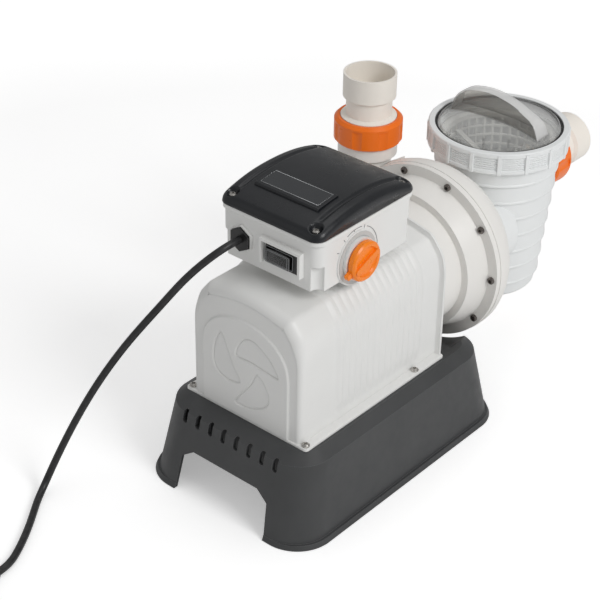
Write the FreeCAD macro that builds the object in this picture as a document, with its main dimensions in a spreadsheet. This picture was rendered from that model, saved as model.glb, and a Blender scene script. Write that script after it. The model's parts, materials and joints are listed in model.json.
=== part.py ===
"""Pool pump with strainer, control box and hollow base, in millimetres.

The motor and the pump share one axis along +Y, at axis_height above the floor.
The cooling fan is at the front (-Y), the strainer pot stands at the rear (+Y),
the outlet union points up on the left (-X) and the timer knob faces right (+X).
The origin is on the floor, under the middle of the base.
"""
import FreeCAD
import Part
import math
import os
import re
import Sketcher

Vector = FreeCAD.Vector
Rotation = FreeCAD.Rotation

SIZES = [
    ("axis_height", 150.5), ("base_width", 202.4), ("base_length", 309),
    ("base_height", 86), ("base_corner", 38), ("base_wall", 3.2),
    ("crease_height", 78), ("lip_height", 4.5),
    ("arch_width", 104), ("arch_height", 44),
    ("vent_pitch", 15.6), ("vent_width", 5.4),
    ("cover_width", 128), ("cover_top", 219.5), ("cover_front", -115.5),
    ("cover_rear", 83), ("cover_wall", 3), ("cover_round", 4.5), ("flange_width", 146),
    ("panel_half", 50.7), ("panel_spring", 145), ("panel_rise", 45), ("panel_step", 1),
    ("emblem_height", 139), ("emblem_depth", 0.8),
    ("flange_front", -117), ("flange_thick", 2.6), ("rib_pitch", 8.6),
    ("screw_spread", 68.2), ("screw_front", -112.2), ("screw_rear", 43.7),
    ("shaft_radius", 6), ("journal_radius", 7.5), ("running_gap", 0.03),
    ("rotor_radius", 27), ("air_gap", 0.5), ("stator_half", 46),
    ("stator_front", -45), ("stator_rear", 25), ("tie_spread", 39),
    ("neck_radius", 64.2), ("neck_wall", 4), ("bracket_rear", 144),
    ("bolt_ring", 83.1), ("bolt_shank", 2.2), ("volute_radius", 90),
    ("volute_rear", 192), ("impeller_radius", 52),
    ("strainer_station", 256), ("pot_bottom", 72), ("pot_wall", 3),
    ("pot_rim", 237), ("collar_radius", 70), ("collar_top", 245.7),
    ("lid_radius", 63.2), ("basket_radius", 53),
    ("outlet_side", -95.4), ("outlet_station", 168), ("union_top", 254.8),
    ("inlet_height", 180), ("inlet_face", 348),
    ("nut_radius", 34), ("nut_height", 25), ("stub_radius", 24),
    ("hose_radius", 24.1), ("hose_depth", 24),
    ("box_half", 56), ("box_front", -86), ("box_rear", 44),
    ("box_bottom", 227), ("box_top", 276.5), ("box_wall", 2.6),
    ("lid_crown", 12), ("knob_radius", 18.7),
    ("knob_station", -35.5), ("knob_height", 242.5),
    ("cable_radius", 3.4), ("gland_side", -29.8), ("gland_height", 249.7),
]

DOC = FreeCAD.newDocument("PoolPump")
SHEET = DOC.addObject("Spreadsheet::Sheet", "Sizes")
NODES = []

# Which way a turned piece's own axis points, as a rotation from straight up.
FACING = {
    "up": Rotation(),
    "back": Rotation(Vector(1, 0, 0), -90),
    "front": Rotation(Vector(1, 0, 0), 90),
    "right": Rotation(Vector(0, 1, 0), 90),
}
# Sketch planes: the role of the origin plane and which way its normal points.
PLANES = {"XY": ("XY_Plane", 1), "XZ": ("XZ_Plane", -1), "YZ": ("YZ_Plane", 1)}


def fill_sheet():
    """Write the driving sizes as aliased cells."""
    for row, (alias, number) in enumerate(SIZES, start=1):
        SHEET.set(f"A{row}", alias)
        SHEET.set(f"B{row}", str(number))
        SHEET.setAlias(f"B{row}", alias)
    DOC.recompute()


def formula(text):
    """Turn 'base_height - 3' into an expression on the sheet's cells."""
    names = {alias for alias, number in SIZES}
    return re.sub(
        r"[a-z][a-z_]+",
        lambda word: "Sizes." + word.group(0) if word.group(0) in names else word.group(0),
        str(text),
    )


def value(text):
    """The number that a formula has now."""
    result = SHEET.evalExpression(formula(text))
    return float(getattr(result, "Value", result))


def bind(thing, path, text):
    """Tie a property to the sheet, or set it when the text is a plain number."""
    thing.setExpression(path, formula(text))


def node(label, thing):
    """Name a finished sub-part."""
    thing.Label = label
    NODES.append(thing)
    return thing


def place(thing, x=0, y=0, z=0, facing="up", spin=0):
    """Set where a piece stands and which way its axis points."""
    turn = FACING[facing].multiply(Rotation(Vector(0, 0, 1), spin))
    spot = Vector(value(x), value(y), value(z))
    thing.Placement = FreeCAD.Placement(spot, turn)
    for axis, text in (("x", x), ("y", y), ("z", z)):
        bind(thing, "Placement.Base." + axis, text)


# ---------------------------------------------------------------- sketching

def new_body(name):
    """An empty body that may hold several separate solids."""
    body = DOC.addObject("PartDesign::Body", name)
    body.AllowCompound = True
    return body


def origin_feature(body, role):
    """One of the body's own origin planes or axes."""
    return [item for item in body.Origin.OriginFeatures if item.Role == role][0]


def new_sketch(body, plane, level=0, shift=(0, 0)):
    """A sketch parallel to a plane, at a level along the plane's positive axis."""
    role, sign = PLANES[plane]
    sketch = body.newObject("Sketcher::SketchObject", body.Name + "_sketch")
    sketch.AttachmentSupport = [(origin_feature(body, role), "")]
    sketch.MapMode = "FlatFace"
    bind(sketch, "AttachmentOffset.Base.x", shift[0])
    bind(sketch, "AttachmentOffset.Base.y", shift[1])
    bind(sketch, "AttachmentOffset.Base.z", f"{sign} * ({level})")
    return sketch


def pin_point(sketch, edge, end, point):
    """Dimension one end of an edge from the sketch's origin."""
    for kind, text in (("DistanceX", point[0]), ("DistanceY", point[1])):
        rule = Sketcher.Constraint(kind, -1, 1, edge, end, value(text))
        index = sketch.addConstraint(rule)
        bind(sketch, f"Constraints[{index}]", text)


def draw_polygon(sketch, points):
    """A closed outline of straight edges through dimensioned corners."""
    first = sketch.GeometryCount
    corners = [Vector(value(x), value(y), 0) for x, y in points]
    count = len(corners)
    for index in range(count):
        line = Part.LineSegment(corners[index], corners[(index + 1) % count])
        sketch.addGeometry(line, False)
    for index in range(count):
        follower = first + (index + 1) % count
        sketch.addConstraint(Sketcher.Constraint("Coincident", first + index, 2, follower, 1))
    for index in range(count):
        pin_point(sketch, first + index, 1, points[index])


def draw_circle(sketch, x, y, radius):
    """A dimensioned circle."""
    circle = Part.Circle(Vector(value(x), value(y), 0), Vector(0, 0, 1), value(radius))
    edge = sketch.addGeometry(circle, False)
    pin_point(sketch, edge, 3, (x, y))
    index = sketch.addConstraint(Sketcher.Constraint("Radius", edge, value(radius)))
    bind(sketch, f"Constraints[{index}]", radius)


def draw_rounded(sketch, x, y, half_x, half_y, corner):
    """A rectangle about (x, y) with four equal corner arcs."""
    first = sketch.GeometryCount
    sides = [(-1, -1, 1, -1), (1, -1, 1, 1), (1, 1, -1, 1), (-1, 1, -1, -1)]
    ends = []
    for index, (ax, ay, bx, by) in enumerate(sides):
        along_x = index % 2 == 0
        trim_x, trim_y = (f"({corner})", 0) if along_x else (0, f"({corner})")
        start = (f"{x} + {ax} * ({half_x} - {trim_x})", f"{y} + {ay} * ({half_y} - {trim_y})")
        stop = (f"{x} + {bx} * ({half_x} - {trim_x})", f"{y} + {by} * ({half_y} - {trim_y})")
        ends.append((start, stop))
        spots = [Vector(value(p), value(q), 0) for p, q in (start, stop)]
        sketch.addGeometry(Part.LineSegment(*spots), False)
    for index, (sx, sy) in enumerate(((1, -1), (1, 1), (-1, 1), (-1, -1))):
        centre = Vector(
            value(f"{x} + {sx} * ({half_x} - ({corner}))"),
            value(f"{y} + {sy} * ({half_y} - ({corner}))"), 0)
        circle = Part.Circle(centre, Vector(0, 0, 1), value(corner))
        start = (index - 1) * math.pi / 2
        sketch.addGeometry(Part.ArcOfCircle(circle, start, start + math.pi / 2), False)
    for index in range(4):
        arc = first + 4 + index
        sketch.addConstraint(Sketcher.Constraint("Coincident", first + index, 2, arc, 1))
        sketch.addConstraint(
            Sketcher.Constraint("Coincident", arc, 2, first + (index + 1) % 4, 1))
        radius = sketch.addConstraint(Sketcher.Constraint("Radius", arc, value(corner)))
        bind(sketch, f"Constraints[{radius}]", corner)
        pin_point(sketch, first + index, 1, ends[index][0])
        pin_point(sketch, first + index, 2, ends[index][1])


def pad(body, plane, draw, low, high):
    """Add material between two levels along a plane's positive axis."""
    sign = PLANES[plane][1]
    sketch = new_sketch(body, plane, low if sign > 0 else high)
    draw(sketch)
    feature = body.newObject("PartDesign::Pad", body.Name + "_pad")
    feature.Profile = sketch
    bind(feature, "Length", f"({high}) - ({low})")
    body.Tip = feature
    return feature


def pocket(body, plane, draw, low, high):
    """Remove material between two levels along a plane's positive axis."""
    sign = PLANES[plane][1]
    sketch = new_sketch(body, plane, high if sign > 0 else low)
    draw(sketch)
    feature = body.newObject("PartDesign::Pocket", body.Name + "_pocket")
    feature.Profile = sketch
    bind(feature, "Length", f"({high}) - ({low})")
    body.Tip = feature
    return feature


def loft(body, sections, kind="PartDesign::AdditiveLoft"):
    """Join rounded rectangles (half_x, half_y, corner, level) with flat sides."""
    sketches = []
    for half_x, half_y, corner, level in sections:
        sketch = new_sketch(body, "XY", level)
        draw_rounded(sketch, 0, 0, half_x, half_y, corner)
        sketches.append(sketch)
    feature = body.newObject(kind, body.Name + "_loft")
    feature.Profile = sketches[0]
    feature.Sections = sketches[1:]
    feature.Ruled = True
    body.Tip = feature
    return feature


def spin_profile(body, outline, spot=(0, 0), kind="PartDesign::Revolution"):
    """Turn a (radius, height) outline about an upright axis at a spot."""
    sketch = new_sketch(body, "XZ", spot[1], (spot[0], 0))
    draw_polygon(sketch, outline)
    feature = body.newObject(kind, body.Name + "_turn")
    feature.Profile = sketch
    feature.ReferenceAxis = (sketch, ["V_Axis"])
    feature.Angle = 360
    body.Tip = feature
    return feature


def pattern(body, feature, count, axis="Z_Axis"):
    """Repeat the last feature around the body's own axis."""
    ring = body.newObject("PartDesign::PolarPattern", body.Name + "_ring")
    ring.Originals = [feature]
    ring.Axis = (origin_feature(body, axis), [""])
    ring.Angle = 360
    ring.Occurrences = count
    body.Tip = ring
    return ring


def row(body, feature, count, length, axis):
    """Repeat the last feature along one of the body's own axes."""
    line = body.newObject("PartDesign::LinearPattern", body.Name + "_row")
    line.Originals = [feature]
    line.Direction = (origin_feature(body, axis), [""])
    bind(line, "Length", length)
    line.Occurrences = count
    body.Tip = line
    return line


def round_edges(body, radius, test, kind="PartDesign::Fillet"):
    """Fillet or chamfer the edges that pass a test, once the base is up to date."""
    DOC.recompute()
    base = body.Tip
    names = [f"Edge{i}" for i, edge in enumerate(base.Shape.Edges, start=1) if test(edge)]
    feature = body.newObject(kind, body.Name + "_round")
    feature.Base = (base, names)
    bind(feature, "Radius" if kind.endswith("Fillet") else "Size", radius)
    body.Tip = feature
    return feature


# ---------------------------------------------------------------- solids

def turned(label, outline, x=0, y=0, z=0, facing="up", spin=0):
    """A sub-part turned about its own axis."""
    body = new_body(label)
    spin_profile(body, outline)
    place(body, x, y, z, facing, spin)
    return node(label, body)


def pump_part(label, outline, spin=0):
    """A sub-part turned about the pump axis: (radius, station along +Y)."""
    return turned(label, outline, z="axis_height", facing="back", spin=spin)


def tube_outline(outer, inner, low, high):
    """The outline of a plain ring."""
    return [(inner, low), (outer, low), (outer, high), (inner, high)]


def screw_outline(head, shank, seat, head_height, length):
    """A screw whose head stands on a seat and whose shank goes down."""
    top = f"{seat} + {head_height}"
    crown = f"{seat} + {head_height} * 0.55"
    foot = f"{seat} - {length}"
    return [(0, foot), (shank, foot), (shank, seat), (head, seat), (head, crown),
            (f"{head} * 0.6", top), (0, top)]


def bar(name, x, y, z, size_x, size_y, size_z):
    """A Part box with its lowest corner at a place."""
    box = DOC.addObject("Part::Box", name)
    for prop, text in (("Length", size_x), ("Width", size_y), ("Height", size_z)):
        bind(box, prop, text)
    place(box, x, y, z)
    return box


def barrel(name, radius, height, x, y, z, facing="up"):
    """A Part cylinder that starts at a place."""
    drum = DOC.addObject("Part::Cylinder", name)
    bind(drum, "Radius", radius)
    bind(drum, "Height", height)
    place(drum, x, y, z, facing)
    return drum


def joined(name, pieces):
    """One solid from several."""
    whole = DOC.addObject("Part::MultiFuse", name)
    whole.Shapes = pieces
    whole.Refine = True
    return whole


def cut(name, base, tools):
    """A solid with other solids taken out of it."""
    tool = tools[0] if len(tools) == 1 else joined(name + "_tools", tools)
    rest = DOC.addObject("Part::Cut", name)
    rest.Base = base
    rest.Tool = tool
    rest.Refine = True
    return rest


# ---------------------------------------------------------------- base

def make_base():
    """Hollow tray that carries the pump: open below, arched and slotted in front."""
    half_x, half_y = "base_width / 2", "base_length / 2"
    outer = [
        (f"{half_x} - 4.2", f"{half_y} - 1.5", "base_corner - 2", 0),
        (f"{half_x} - 14.2", f"{half_y} - 18", "base_corner - 4", "crease_height"),
        ("flange_width / 2 + 3", f"{half_y} - 34", "base_corner / 2", "base_height"),
    ]
    lip = [
        (half_x, half_y, "base_corner", 0),
        (f"{half_x} - 2", f"{half_y} - 2", "base_corner - 2", "lip_height"),
    ]
    inner = [(f"{x} - base_wall", f"{y} - base_wall", f"{r} - base_wall", z)
             for x, y, r, z in outer]
    inner[1] = inner[1][:3] + ("crease_height - base_wall / 2",)
    inner[2] = inner[2][:3] + ("base_height - base_wall",)
    solid = new_body("base_solid")
    loft(solid, outer)
    loft(solid, lip)
    cavity = new_body("base_cavity")
    loft(cavity, inner)
    saddle = "volute_radius + 3.5"
    keep = barrel("base_saddle_wall", f"{saddle} + base_wall", 80, 0, 98, "axis_height", "back")
    scoop = barrel("base_saddle", saddle, 80, 0, 101, "axis_height", "back")
    hollow = cut("base_hollow", cavity, [keep])
    tray = cut("base_tray", solid, [hollow, scoop, base_openings()])
    return node("base", cut("base", joined("base_whole", [tray, base_posts()]),
                            [base_pilots()]))


def base_openings():
    """Front arch and the row of vent slots, as solids to take away."""
    tool = new_body("base_openings")
    wide, narrow = "arch_width / 2 + 3", "arch_width / 2 - 13"
    arch = [(f"-({wide})", -1), (wide, -1), ("arch_width / 2", "arch_height - 9"),
            (narrow, "arch_height"), (f"-({narrow})", "arch_height"),
            ("-arch_width / 2", "arch_height - 9")]
    pad(tool, "XZ", lambda s: draw_polygon(s, arch), "-base_length / 2 - 1", -110)
    slot = pad(
        tool, "XZ",
        lambda s: draw_rounded(s, "-3.5 * vent_pitch", 73.6, "vent_width / 2", 6, 2),
        "-base_length / 2", "-base_length / 2 + 36")
    row(tool, slot, 8, "7 * vent_pitch", "X_Axis")
    return tool


def base_posts():
    """Centre post, bosses under the top for every screw and a rib behind the vents."""
    posts = new_body("base_posts")
    pad(posts, "XY", lambda s: draw_circle(s, 0, 0, 12), 0, "base_height - 1")
    for x, y in cover_screw_spots() + cradle_screw_spots():
        pad(posts, "XY", lambda s: draw_circle(s, x, y, 4.5),
            "base_height - 14", "base_height - 1")
    pad(posts, "XZ", lambda s: draw_polygon(s, [(-81, 46), (81, 46), (78, 81), (70, 84),
                                                (-70, 84), (-78, 81)]), -118, -115.4)
    return posts


def base_pilots():
    """Pilot holes for the cover screws and the saddle screws."""
    pilots = new_body("base_pilots")
    for x, y in cover_screw_spots() + cradle_screw_spots():
        pad(pilots, "XY", lambda s: draw_circle(s, x, y, 1.85),
            "base_height - 12", "base_height + 1")
    return pilots


def cover_screw_spots():
    """Where the four cover screws go into the base."""
    return [(side + "screw_spread", y)
            for side in ("", "-") for y in ("screw_front", "screw_rear")]


# ---------------------------------------------------------------- motor cover

def cover_outline(inset):
    """Half-round-shouldered section of the cover, smaller by an inset."""
    side = f"cover_width / 2 - {inset}"
    ridge = f"cover_width / 2 - 15.7 - {inset} * 0.7"
    ridge_top = f"cover_top - 10.6 - {inset}"
    shoulder = f"cover_top - 42 - {inset} * 0.4"
    bend = f"cover_width / 2 - 3.2 - {inset} * 0.95"
    bend_top = f"cover_top - 26 - {inset} * 0.6"
    floor = "base_height"
    right = [(side, floor), (side, shoulder), (bend, bend_top), (ridge, ridge_top)]
    left = [(f"-({x})", z) for x, z in reversed(right)]
    return right + [(0, f"cover_top - {inset}")] + left


def make_motor_cover():
    """Ribbed shell over the motor, open below and behind, with a screw flange."""
    shell = new_body("cover_shell")
    pad(shell, "XZ", lambda s: draw_polygon(s, cover_outline(0)), "cover_front", "cover_rear")
    round_edges(shell, "cover_round", is_front_edge)
    rib = pad(shell, "XZ", lambda s: draw_polygon(s, cover_outline(-1.2)), -64, -60.4)
    row(shell, rib, 14, "13 * rib_pitch", "Y_Axis")
    pad(shell, "XZ", lambda s: draw_polygon(s, cover_outline(-5.5)),
        "cover_rear - 3.5", "cover_rear")
    flange = bar("cover_flange", "-flange_width / 2", "flange_front", "base_height",
                 "flange_width", "cover_rear - flange_front", "flange_thick")
    pedestal = bar("cover_pedestal", -38, -62, "cover_top - 24", 76, 88,
                   "box_bottom - cover_top + 24")
    cavity = new_body("cover_cavity")
    pad(cavity, "XZ", lambda s: draw_polygon(s, cover_outline("cover_wall")),
        "cover_front + cover_wall", "cover_rear + 1")
    round_edges(cavity, "cover_round - 2.5", is_front_edge)
    underside = bar("cover_underside", -100, -130, "base_height - 20", 200, 300, 20)
    well = bar("cover_well", -58, "cover_front + 6", "base_height - 1", 116,
               "cover_rear - cover_front", "flange_thick + 2")
    lead_hole = barrel("cover_lead_hole", 6, 40, 0, -30, "cover_top - 20")
    tools = [cavity, underside, well, lead_hole]
    for index, (x, y) in enumerate(cover_screw_spots()):
        tools.append(barrel(f"cover_hole_{index}", 2.1, 20, x, y, "base_height - 5"))
        tools.append(barrel(f"cover_spotface_{index}", 4.3, 8, x, y,
                            "base_height + flange_thick"))
    for index, (x, y) in enumerate(box_screw_spots()):
        tools.append(barrel(f"cover_pilot_{index}", 1.6, 12, x, y, "box_bottom - 11"))
    tools.append(emblem())
    whole = joined("cover_whole", [shell, flange, pedestal, front_panel()])
    return node("motor_cover", cut("motor_cover", whole, tools))


def front_panel():
    """Raised arched panel on the cover's front face."""
    panel = new_body("cover_panel")
    steps = 14
    arch = []
    for step in range(steps + 1):
        turn = math.pi * step / steps
        arch.append((f"panel_half * {math.cos(turn):.4f}",
                     f"panel_spring + panel_rise * {math.sin(turn) ** 0.8:.4f}"))
    foot = "base_height + 0.5"
    outline = [("panel_half", foot)] + arch + [("-panel_half", foot)]
    pad(panel, "XZ", lambda s: draw_polygon(s, outline), "cover_front - panel_step",
        "cover_front + 1")
    return panel


def emblem():
    """Three swept fan blades sunk into the front panel, as solids to take away."""
    blades = new_body("cover_emblem")
    outline = [(-27, 29), (-20, 15), (-13.5, 0), (-5, -14), (-16, -18.5), (-29, -16.5),
               (-36, -9), (-37.5, 2), (-36, 14), (-32, 24)]
    blade = pad(blades, "XY", lambda s: draw_polygon(s, outline), "-panel_step - 1",
                "emblem_depth - panel_step")
    pattern(blades, blade, 3)
    place(blades, 0, "cover_front", "emblem_height", "back")
    return blades


def is_front_edge(edge):
    """True for the front outline above the floor edge."""
    box = edge.BoundBox
    front = value("cover_front")
    return box.YMax < front + value("cover_wall") + 0.1 and box.ZMax > value("base_height") + 1


def box_screw_spots():
    """Screws that hold the control box on the cover's pedestal."""
    return [(x, y) for x in (-32, 32) for y in (-55, 19)]


# ---------------------------------------------------------------- fasteners

def screw_set(label, spots, head, shank, seat, head_height, length, drive):
    """Identical upright screws, one solid each, with a cross in the head."""
    body = new_body(label)
    outline = screw_outline(head, shank, seat, head_height, length)
    for spot in spots:
        spin_profile(body, outline, spot)
    for x, y in spots:
        for half_x, half_y in ((drive, drive * 0.25), (drive * 0.25, drive)):
            pocket(body, "XY", lambda s: draw_rounded(s, x, y, half_x, half_y, 0.1),
                   f"{seat} + {head_height} * 0.4", f"{seat} + {head_height} + 1")
    return node(label, body)


def make_cover_screws():
    """Pan-head screws through the cover's flange."""
    return screw_set("cover_screws", cover_screw_spots(), 3.7, 1.8,
                     "base_height + flange_thick", 2.6, 12, 2)


def make_volute_bolts():
    """Ring of socket screws that hold the bracket to the casing."""
    body = new_body("volute_bolts")
    outline = [(0, 135.4), (2.7, 135.4), (3.5, 136.2), (3.5, 137.9), ("bolt_shank", 137.9),
               ("bolt_shank", 154), (0, 154)]
    bolt = spin_profile(body, outline, ("bolt_ring", 0))
    pattern(body, bolt, 10)
    socket = pocket(body, "XY", lambda s: draw_polygon(s, hexagon("bolt_ring", 0, 1.7)), 135, 137)
    pattern(body, socket, 10)
    place(body, 0, 0, "axis_height", "back", -72)
    return node("volute_bolts", body)


# ---------------------------------------------------------------- motor

def make_stator():
    """Laminated square core with clipped corners, and the end turns beside it."""
    core = new_body("stator_core")
    half = "stator_half"
    pad(core, "XZ", lambda s: draw_rounded(s, 0, "axis_height", half, half, 12),
        "stator_front", "stator_rear")
    pocket(core, "XZ", lambda s: draw_circle(s, 0, "axis_height", "rotor_radius + air_gap"),
           "stator_front - 1", "stator_rear + 1")
    drill_ties(core, "stator_front - 1", "stator_rear + 1")
    node("stator_core", core)
    turns = new_body("stator_windings")
    for low, high in (("stator_front - 18", "stator_front"),
                      ("stator_rear", "stator_rear + 18")):
        ring = [(31, low), (33, f"{low} - 2"), (40, f"{low} - 2"), (42, low),
                (42, high), (31, high)]
        if low == "stator_rear":
            ring = [(31, low), (42, low), (42, high), (40, f"{high} + 2"),
                    (33, f"{high} + 2"), (31, high)]
        spin_profile(turns, ring)
    place(turns, 0, 0, "axis_height", "back")
    return node("stator_windings", turns)


def tie_spots():
    """Corners of the square on which the motor's tie bolts stand."""
    return [(f"{sx} * tie_spread", f"axis_height + {sz} * tie_spread")
            for sx in (-1, 1) for sz in (-1, 1)]


def drill_ties(body, low, high):
    """Clearance holes for the four tie bolts."""
    for x, z in tie_spots():
        pocket(body, "XZ", lambda s: draw_circle(s, x, z, 2.1), low, high)


def make_bell(label, open_end, closed_end, bore, seat, seat_depth, low, high):
    """Aluminium end shield: a square cup with a bearing seat in its closed end."""
    bell = new_body(label)
    half = "stator_half"
    pad(bell, "XZ", lambda s: draw_rounded(s, 0, "axis_height", half, half, 12), low, high)
    cup = sorted((open_end, closed_end), key=value)
    pocket(bell, "XZ", lambda s: draw_circle(s, 0, "axis_height", 43.5), *cup)
    pad(bell, "XZ", lambda s: draw_circle(s, 0, "axis_height", f"{seat} + 5"), *seat_depth)
    pocket(bell, "XZ", lambda s: draw_circle(s, 0, "axis_height", seat), *seat_depth)
    pocket(bell, "XZ", lambda s: draw_circle(s, 0, "axis_height", bore),
           f"{low} - 1", f"{high} + 6")
    drill_ties(bell, f"{low} - 1", f"{high} + 1")
    return node(label, bell)


def make_bells():
    """Front and rear end shields of the motor."""
    make_bell("front_bell", "stator_front", -68, 8.5, 16, (-68, -58), -73, "stator_front")
    make_bell("rear_bell", "stator_rear", 50, 10, 17.5, (50, 61), "stator_rear", 56)


def make_tie_bolts():
    """Four long bolts that clamp the end shields on the core."""
    body = new_body("tie_bolts")
    for x, z in tie_spots():
        pad(body, "XZ", lambda s: draw_circle(s, x, z, 2), -76, 59)
        pad(body, "XZ", lambda s: draw_circle(s, x, z, 3.8), -76, -73)
        pad(body, "XZ", lambda s: draw_circle(s, x, z, 3.8), 56, 59)
    return node("tie_bolts", body)


def make_rotor_parts():
    """Shaft, rotor, fan and the two bearings."""
    slim, journal = "shaft_radius", "journal_radius"
    pump_part("motor_shaft", [
        (0, -99), (slim, -99), (slim, -57), (8.5, -57), (8.5, 45), (journal, 45),
        (journal, 68), (slim, 68), (slim, 149), (4, 149), (4, 176), (0, 176)])
    pump_part("rotor_core", [
        (8.5, -44), (22, -48), ("rotor_radius - 2", -48), ("rotor_radius - 2", "stator_front"),
        ("rotor_radius", "stator_front"), ("rotor_radius", "stator_rear"),
        ("rotor_radius - 2", "stator_rear"), ("rotor_radius - 2", 28), (22, 28), (8.5, 24)])
    pump_part("front_bearing", [
        ("shaft_radius + running_gap", -68), (9, -68), (9.6, -67.4), (12.8, -67.4), (13.4, -68),
        (16, -68), (16, -58), (13.4, -58), (12.8, -58.6), (9.6, -58.6), (9, -58),
        ("shaft_radius + running_gap", -58)])
    pump_part("rear_bearing", [
        ("journal_radius + running_gap", 50), (10.5, 50), (11, 50.6), (14, 50.6), (14.5, 50),
        (17.5, 50), (17.5, 61), (14.5, 61), (14, 60.4), (11, 60.4), (10.5, 61),
        ("journal_radius + running_gap", 61)])
    fan = new_body("cooling_fan")
    spin_profile(fan, tube_outline(14, "shaft_radius", -98, -80))
    spin_profile(fan, tube_outline(42, 13.5, -82, -80))
    blade = pad(fan, "YZ", lambda s: draw_polygon(s, [(13, -98), (40, -96), (42, -81), (13, -81)]),
                -0.9, 0.9)
    pattern(fan, blade, 7)
    place(fan, 0, 0, "axis_height", "back")
    return node("cooling_fan", fan)


def cradle_screw_spots():
    """Corners of the saddle block that are screwed to the base."""
    return [(x, y) for x in (-38, 38) for y in (-34, 14)]


def make_cradle():
    """Rubber saddle between the motor and the base, and its screws."""
    cradle = new_body("motor_cradle")
    pad(cradle, "XY", lambda s: draw_rounded(s, 0, -10, 44, 30, 5), "base_height",
        "base_height + 5")
    pad(cradle, "XY", lambda s: draw_rounded(s, 0, -10, 30, 28, 3), "base_height",
        "axis_height - stator_half")
    for x, y in cradle_screw_spots():
        pocket(cradle, "XY", lambda s: draw_circle(s, x, y, 2.1), "base_height - 1",
               "base_height + 6")
    node("motor_cradle", cradle)
    return screw_set("cradle_screws", cradle_screw_spots(), 3.6, 1.8, "base_height + 5",
                     2.4, 14, 2)


# ---------------------------------------------------------------- pump end

def make_bracket():
    """Bracket between motor and casing: neck, flared drum and bolted flange."""
    outer = [
        ("neck_radius - 2", 83.2), ("neck_radius", 84.6), ("neck_radius", 116), (71.3, 116),
        (79, 138), ("volute_radius - 0.7", 138), ("volute_radius - 0.7", "bracket_rear")]
    web = [
        (78.4, "bracket_rear"), (78.4, "bracket_rear - 2.5"), (12.2, "bracket_rear - 2.5"),
        (12.2, "bracket_rear - 6.5"), (7.2, "bracket_rear - 6.5"), (7.2, "bracket_rear - 12"),
        (14, "bracket_rear - 12"), (14, "bracket_rear - 6.5"), (75, "bracket_rear - 6.5")]
    hollow = [
        (67.4, 120), ("neck_radius - neck_wall", 120), ("neck_radius - neck_wall", 88.2),
        (44, 88.2), (44, 83.2)]
    body = new_body("pump_bracket")
    spin_profile(body, outer + web + hollow)
    hole = pocket(body, "XY", lambda s: draw_circle(s, "bolt_ring", 0, "bolt_shank + 0.1"),
                  137, "bracket_rear + 1")
    pattern(body, hole, 10)
    window = pocket(body, "XY", lambda s: draw_circle(s, 52, 0, 2.1), 83, 89)
    pattern(body, window, 4)
    place(body, 0, 0, "axis_height", "back", -72)
    return node("pump_bracket", body)


def make_adapter():
    """Cast ring that stands the bracket off the motor's rear shield."""
    body = new_body("motor_adapter")
    spin_profile(body, tube_outline(58, 44.2, 79, 83.2))
    spin_profile(body, tube_outline(49.5, 44.2, 56, 80))
    spin_profile(body, tube_outline(49.5, 24, 56, 60))
    hole = pocket(body, "XY", lambda s: draw_circle(s, 52, 0, 1.7), 78, 84)
    pattern(body, hole, 4)
    place(body, 0, 0, "axis_height", "back", -72)
    node("motor_adapter", body)
    screws = new_body("bracket_screws")
    outline = [(0, 79.5), (1.6, 79.5), (1.6, 88.3), (3.6, 88.3), (3.6, 91), (0, 91)]
    screw = spin_profile(screws, outline, (52, 0))
    pattern(screws, screw, 4)
    place(screws, 0, 0, "axis_height", "back", -72)
    return node("bracket_screws", screws)


def make_seal_and_impeller():
    """Shaft seal, closed impeller and its nut."""
    gap = "shaft_radius"
    pump_part("seal_seat", tube_outline(12.1, 7.2, "bracket_rear - 6.4", "bracket_rear - 2.6"))
    pump_part("seal_rotary", [
        (gap, 141.5), (10.5, 141.5), (10.5, 143.6), (9, 143.6), (9, 144.2), (gap, 144.2)])
    pump_part("seal_spring", tube_outline(9.4, 7.6, 144.3, 148.8))
    impeller = new_body("impeller")
    tip = "impeller_radius"
    spin_profile(impeller, [(4, 149), (tip, 149), (tip, 151.5), (14, 152), (9, 170), (4, 170)])
    spin_profile(impeller, [
        (19, 171), (21.5, 171), (22, 162.5), (tip, 161), (tip, 163), (24, 165), (24, 176),
        (19, 176)])
    blade = pad(impeller, "XY",
                lambda s: draw_polygon(s, [(13, -1), (30, 4), (51.5, 17), (50.5, 19),
                                           (29, 6.5), (13, 1.5)]),
                151, 162.5)
    pattern(impeller, blade, 6)
    place(impeller, 0, 0, "axis_height", "back")
    node("impeller", impeller)
    return pump_part("impeller_nut", tube_outline(6.5, 4, 170, 174.5))


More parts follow.
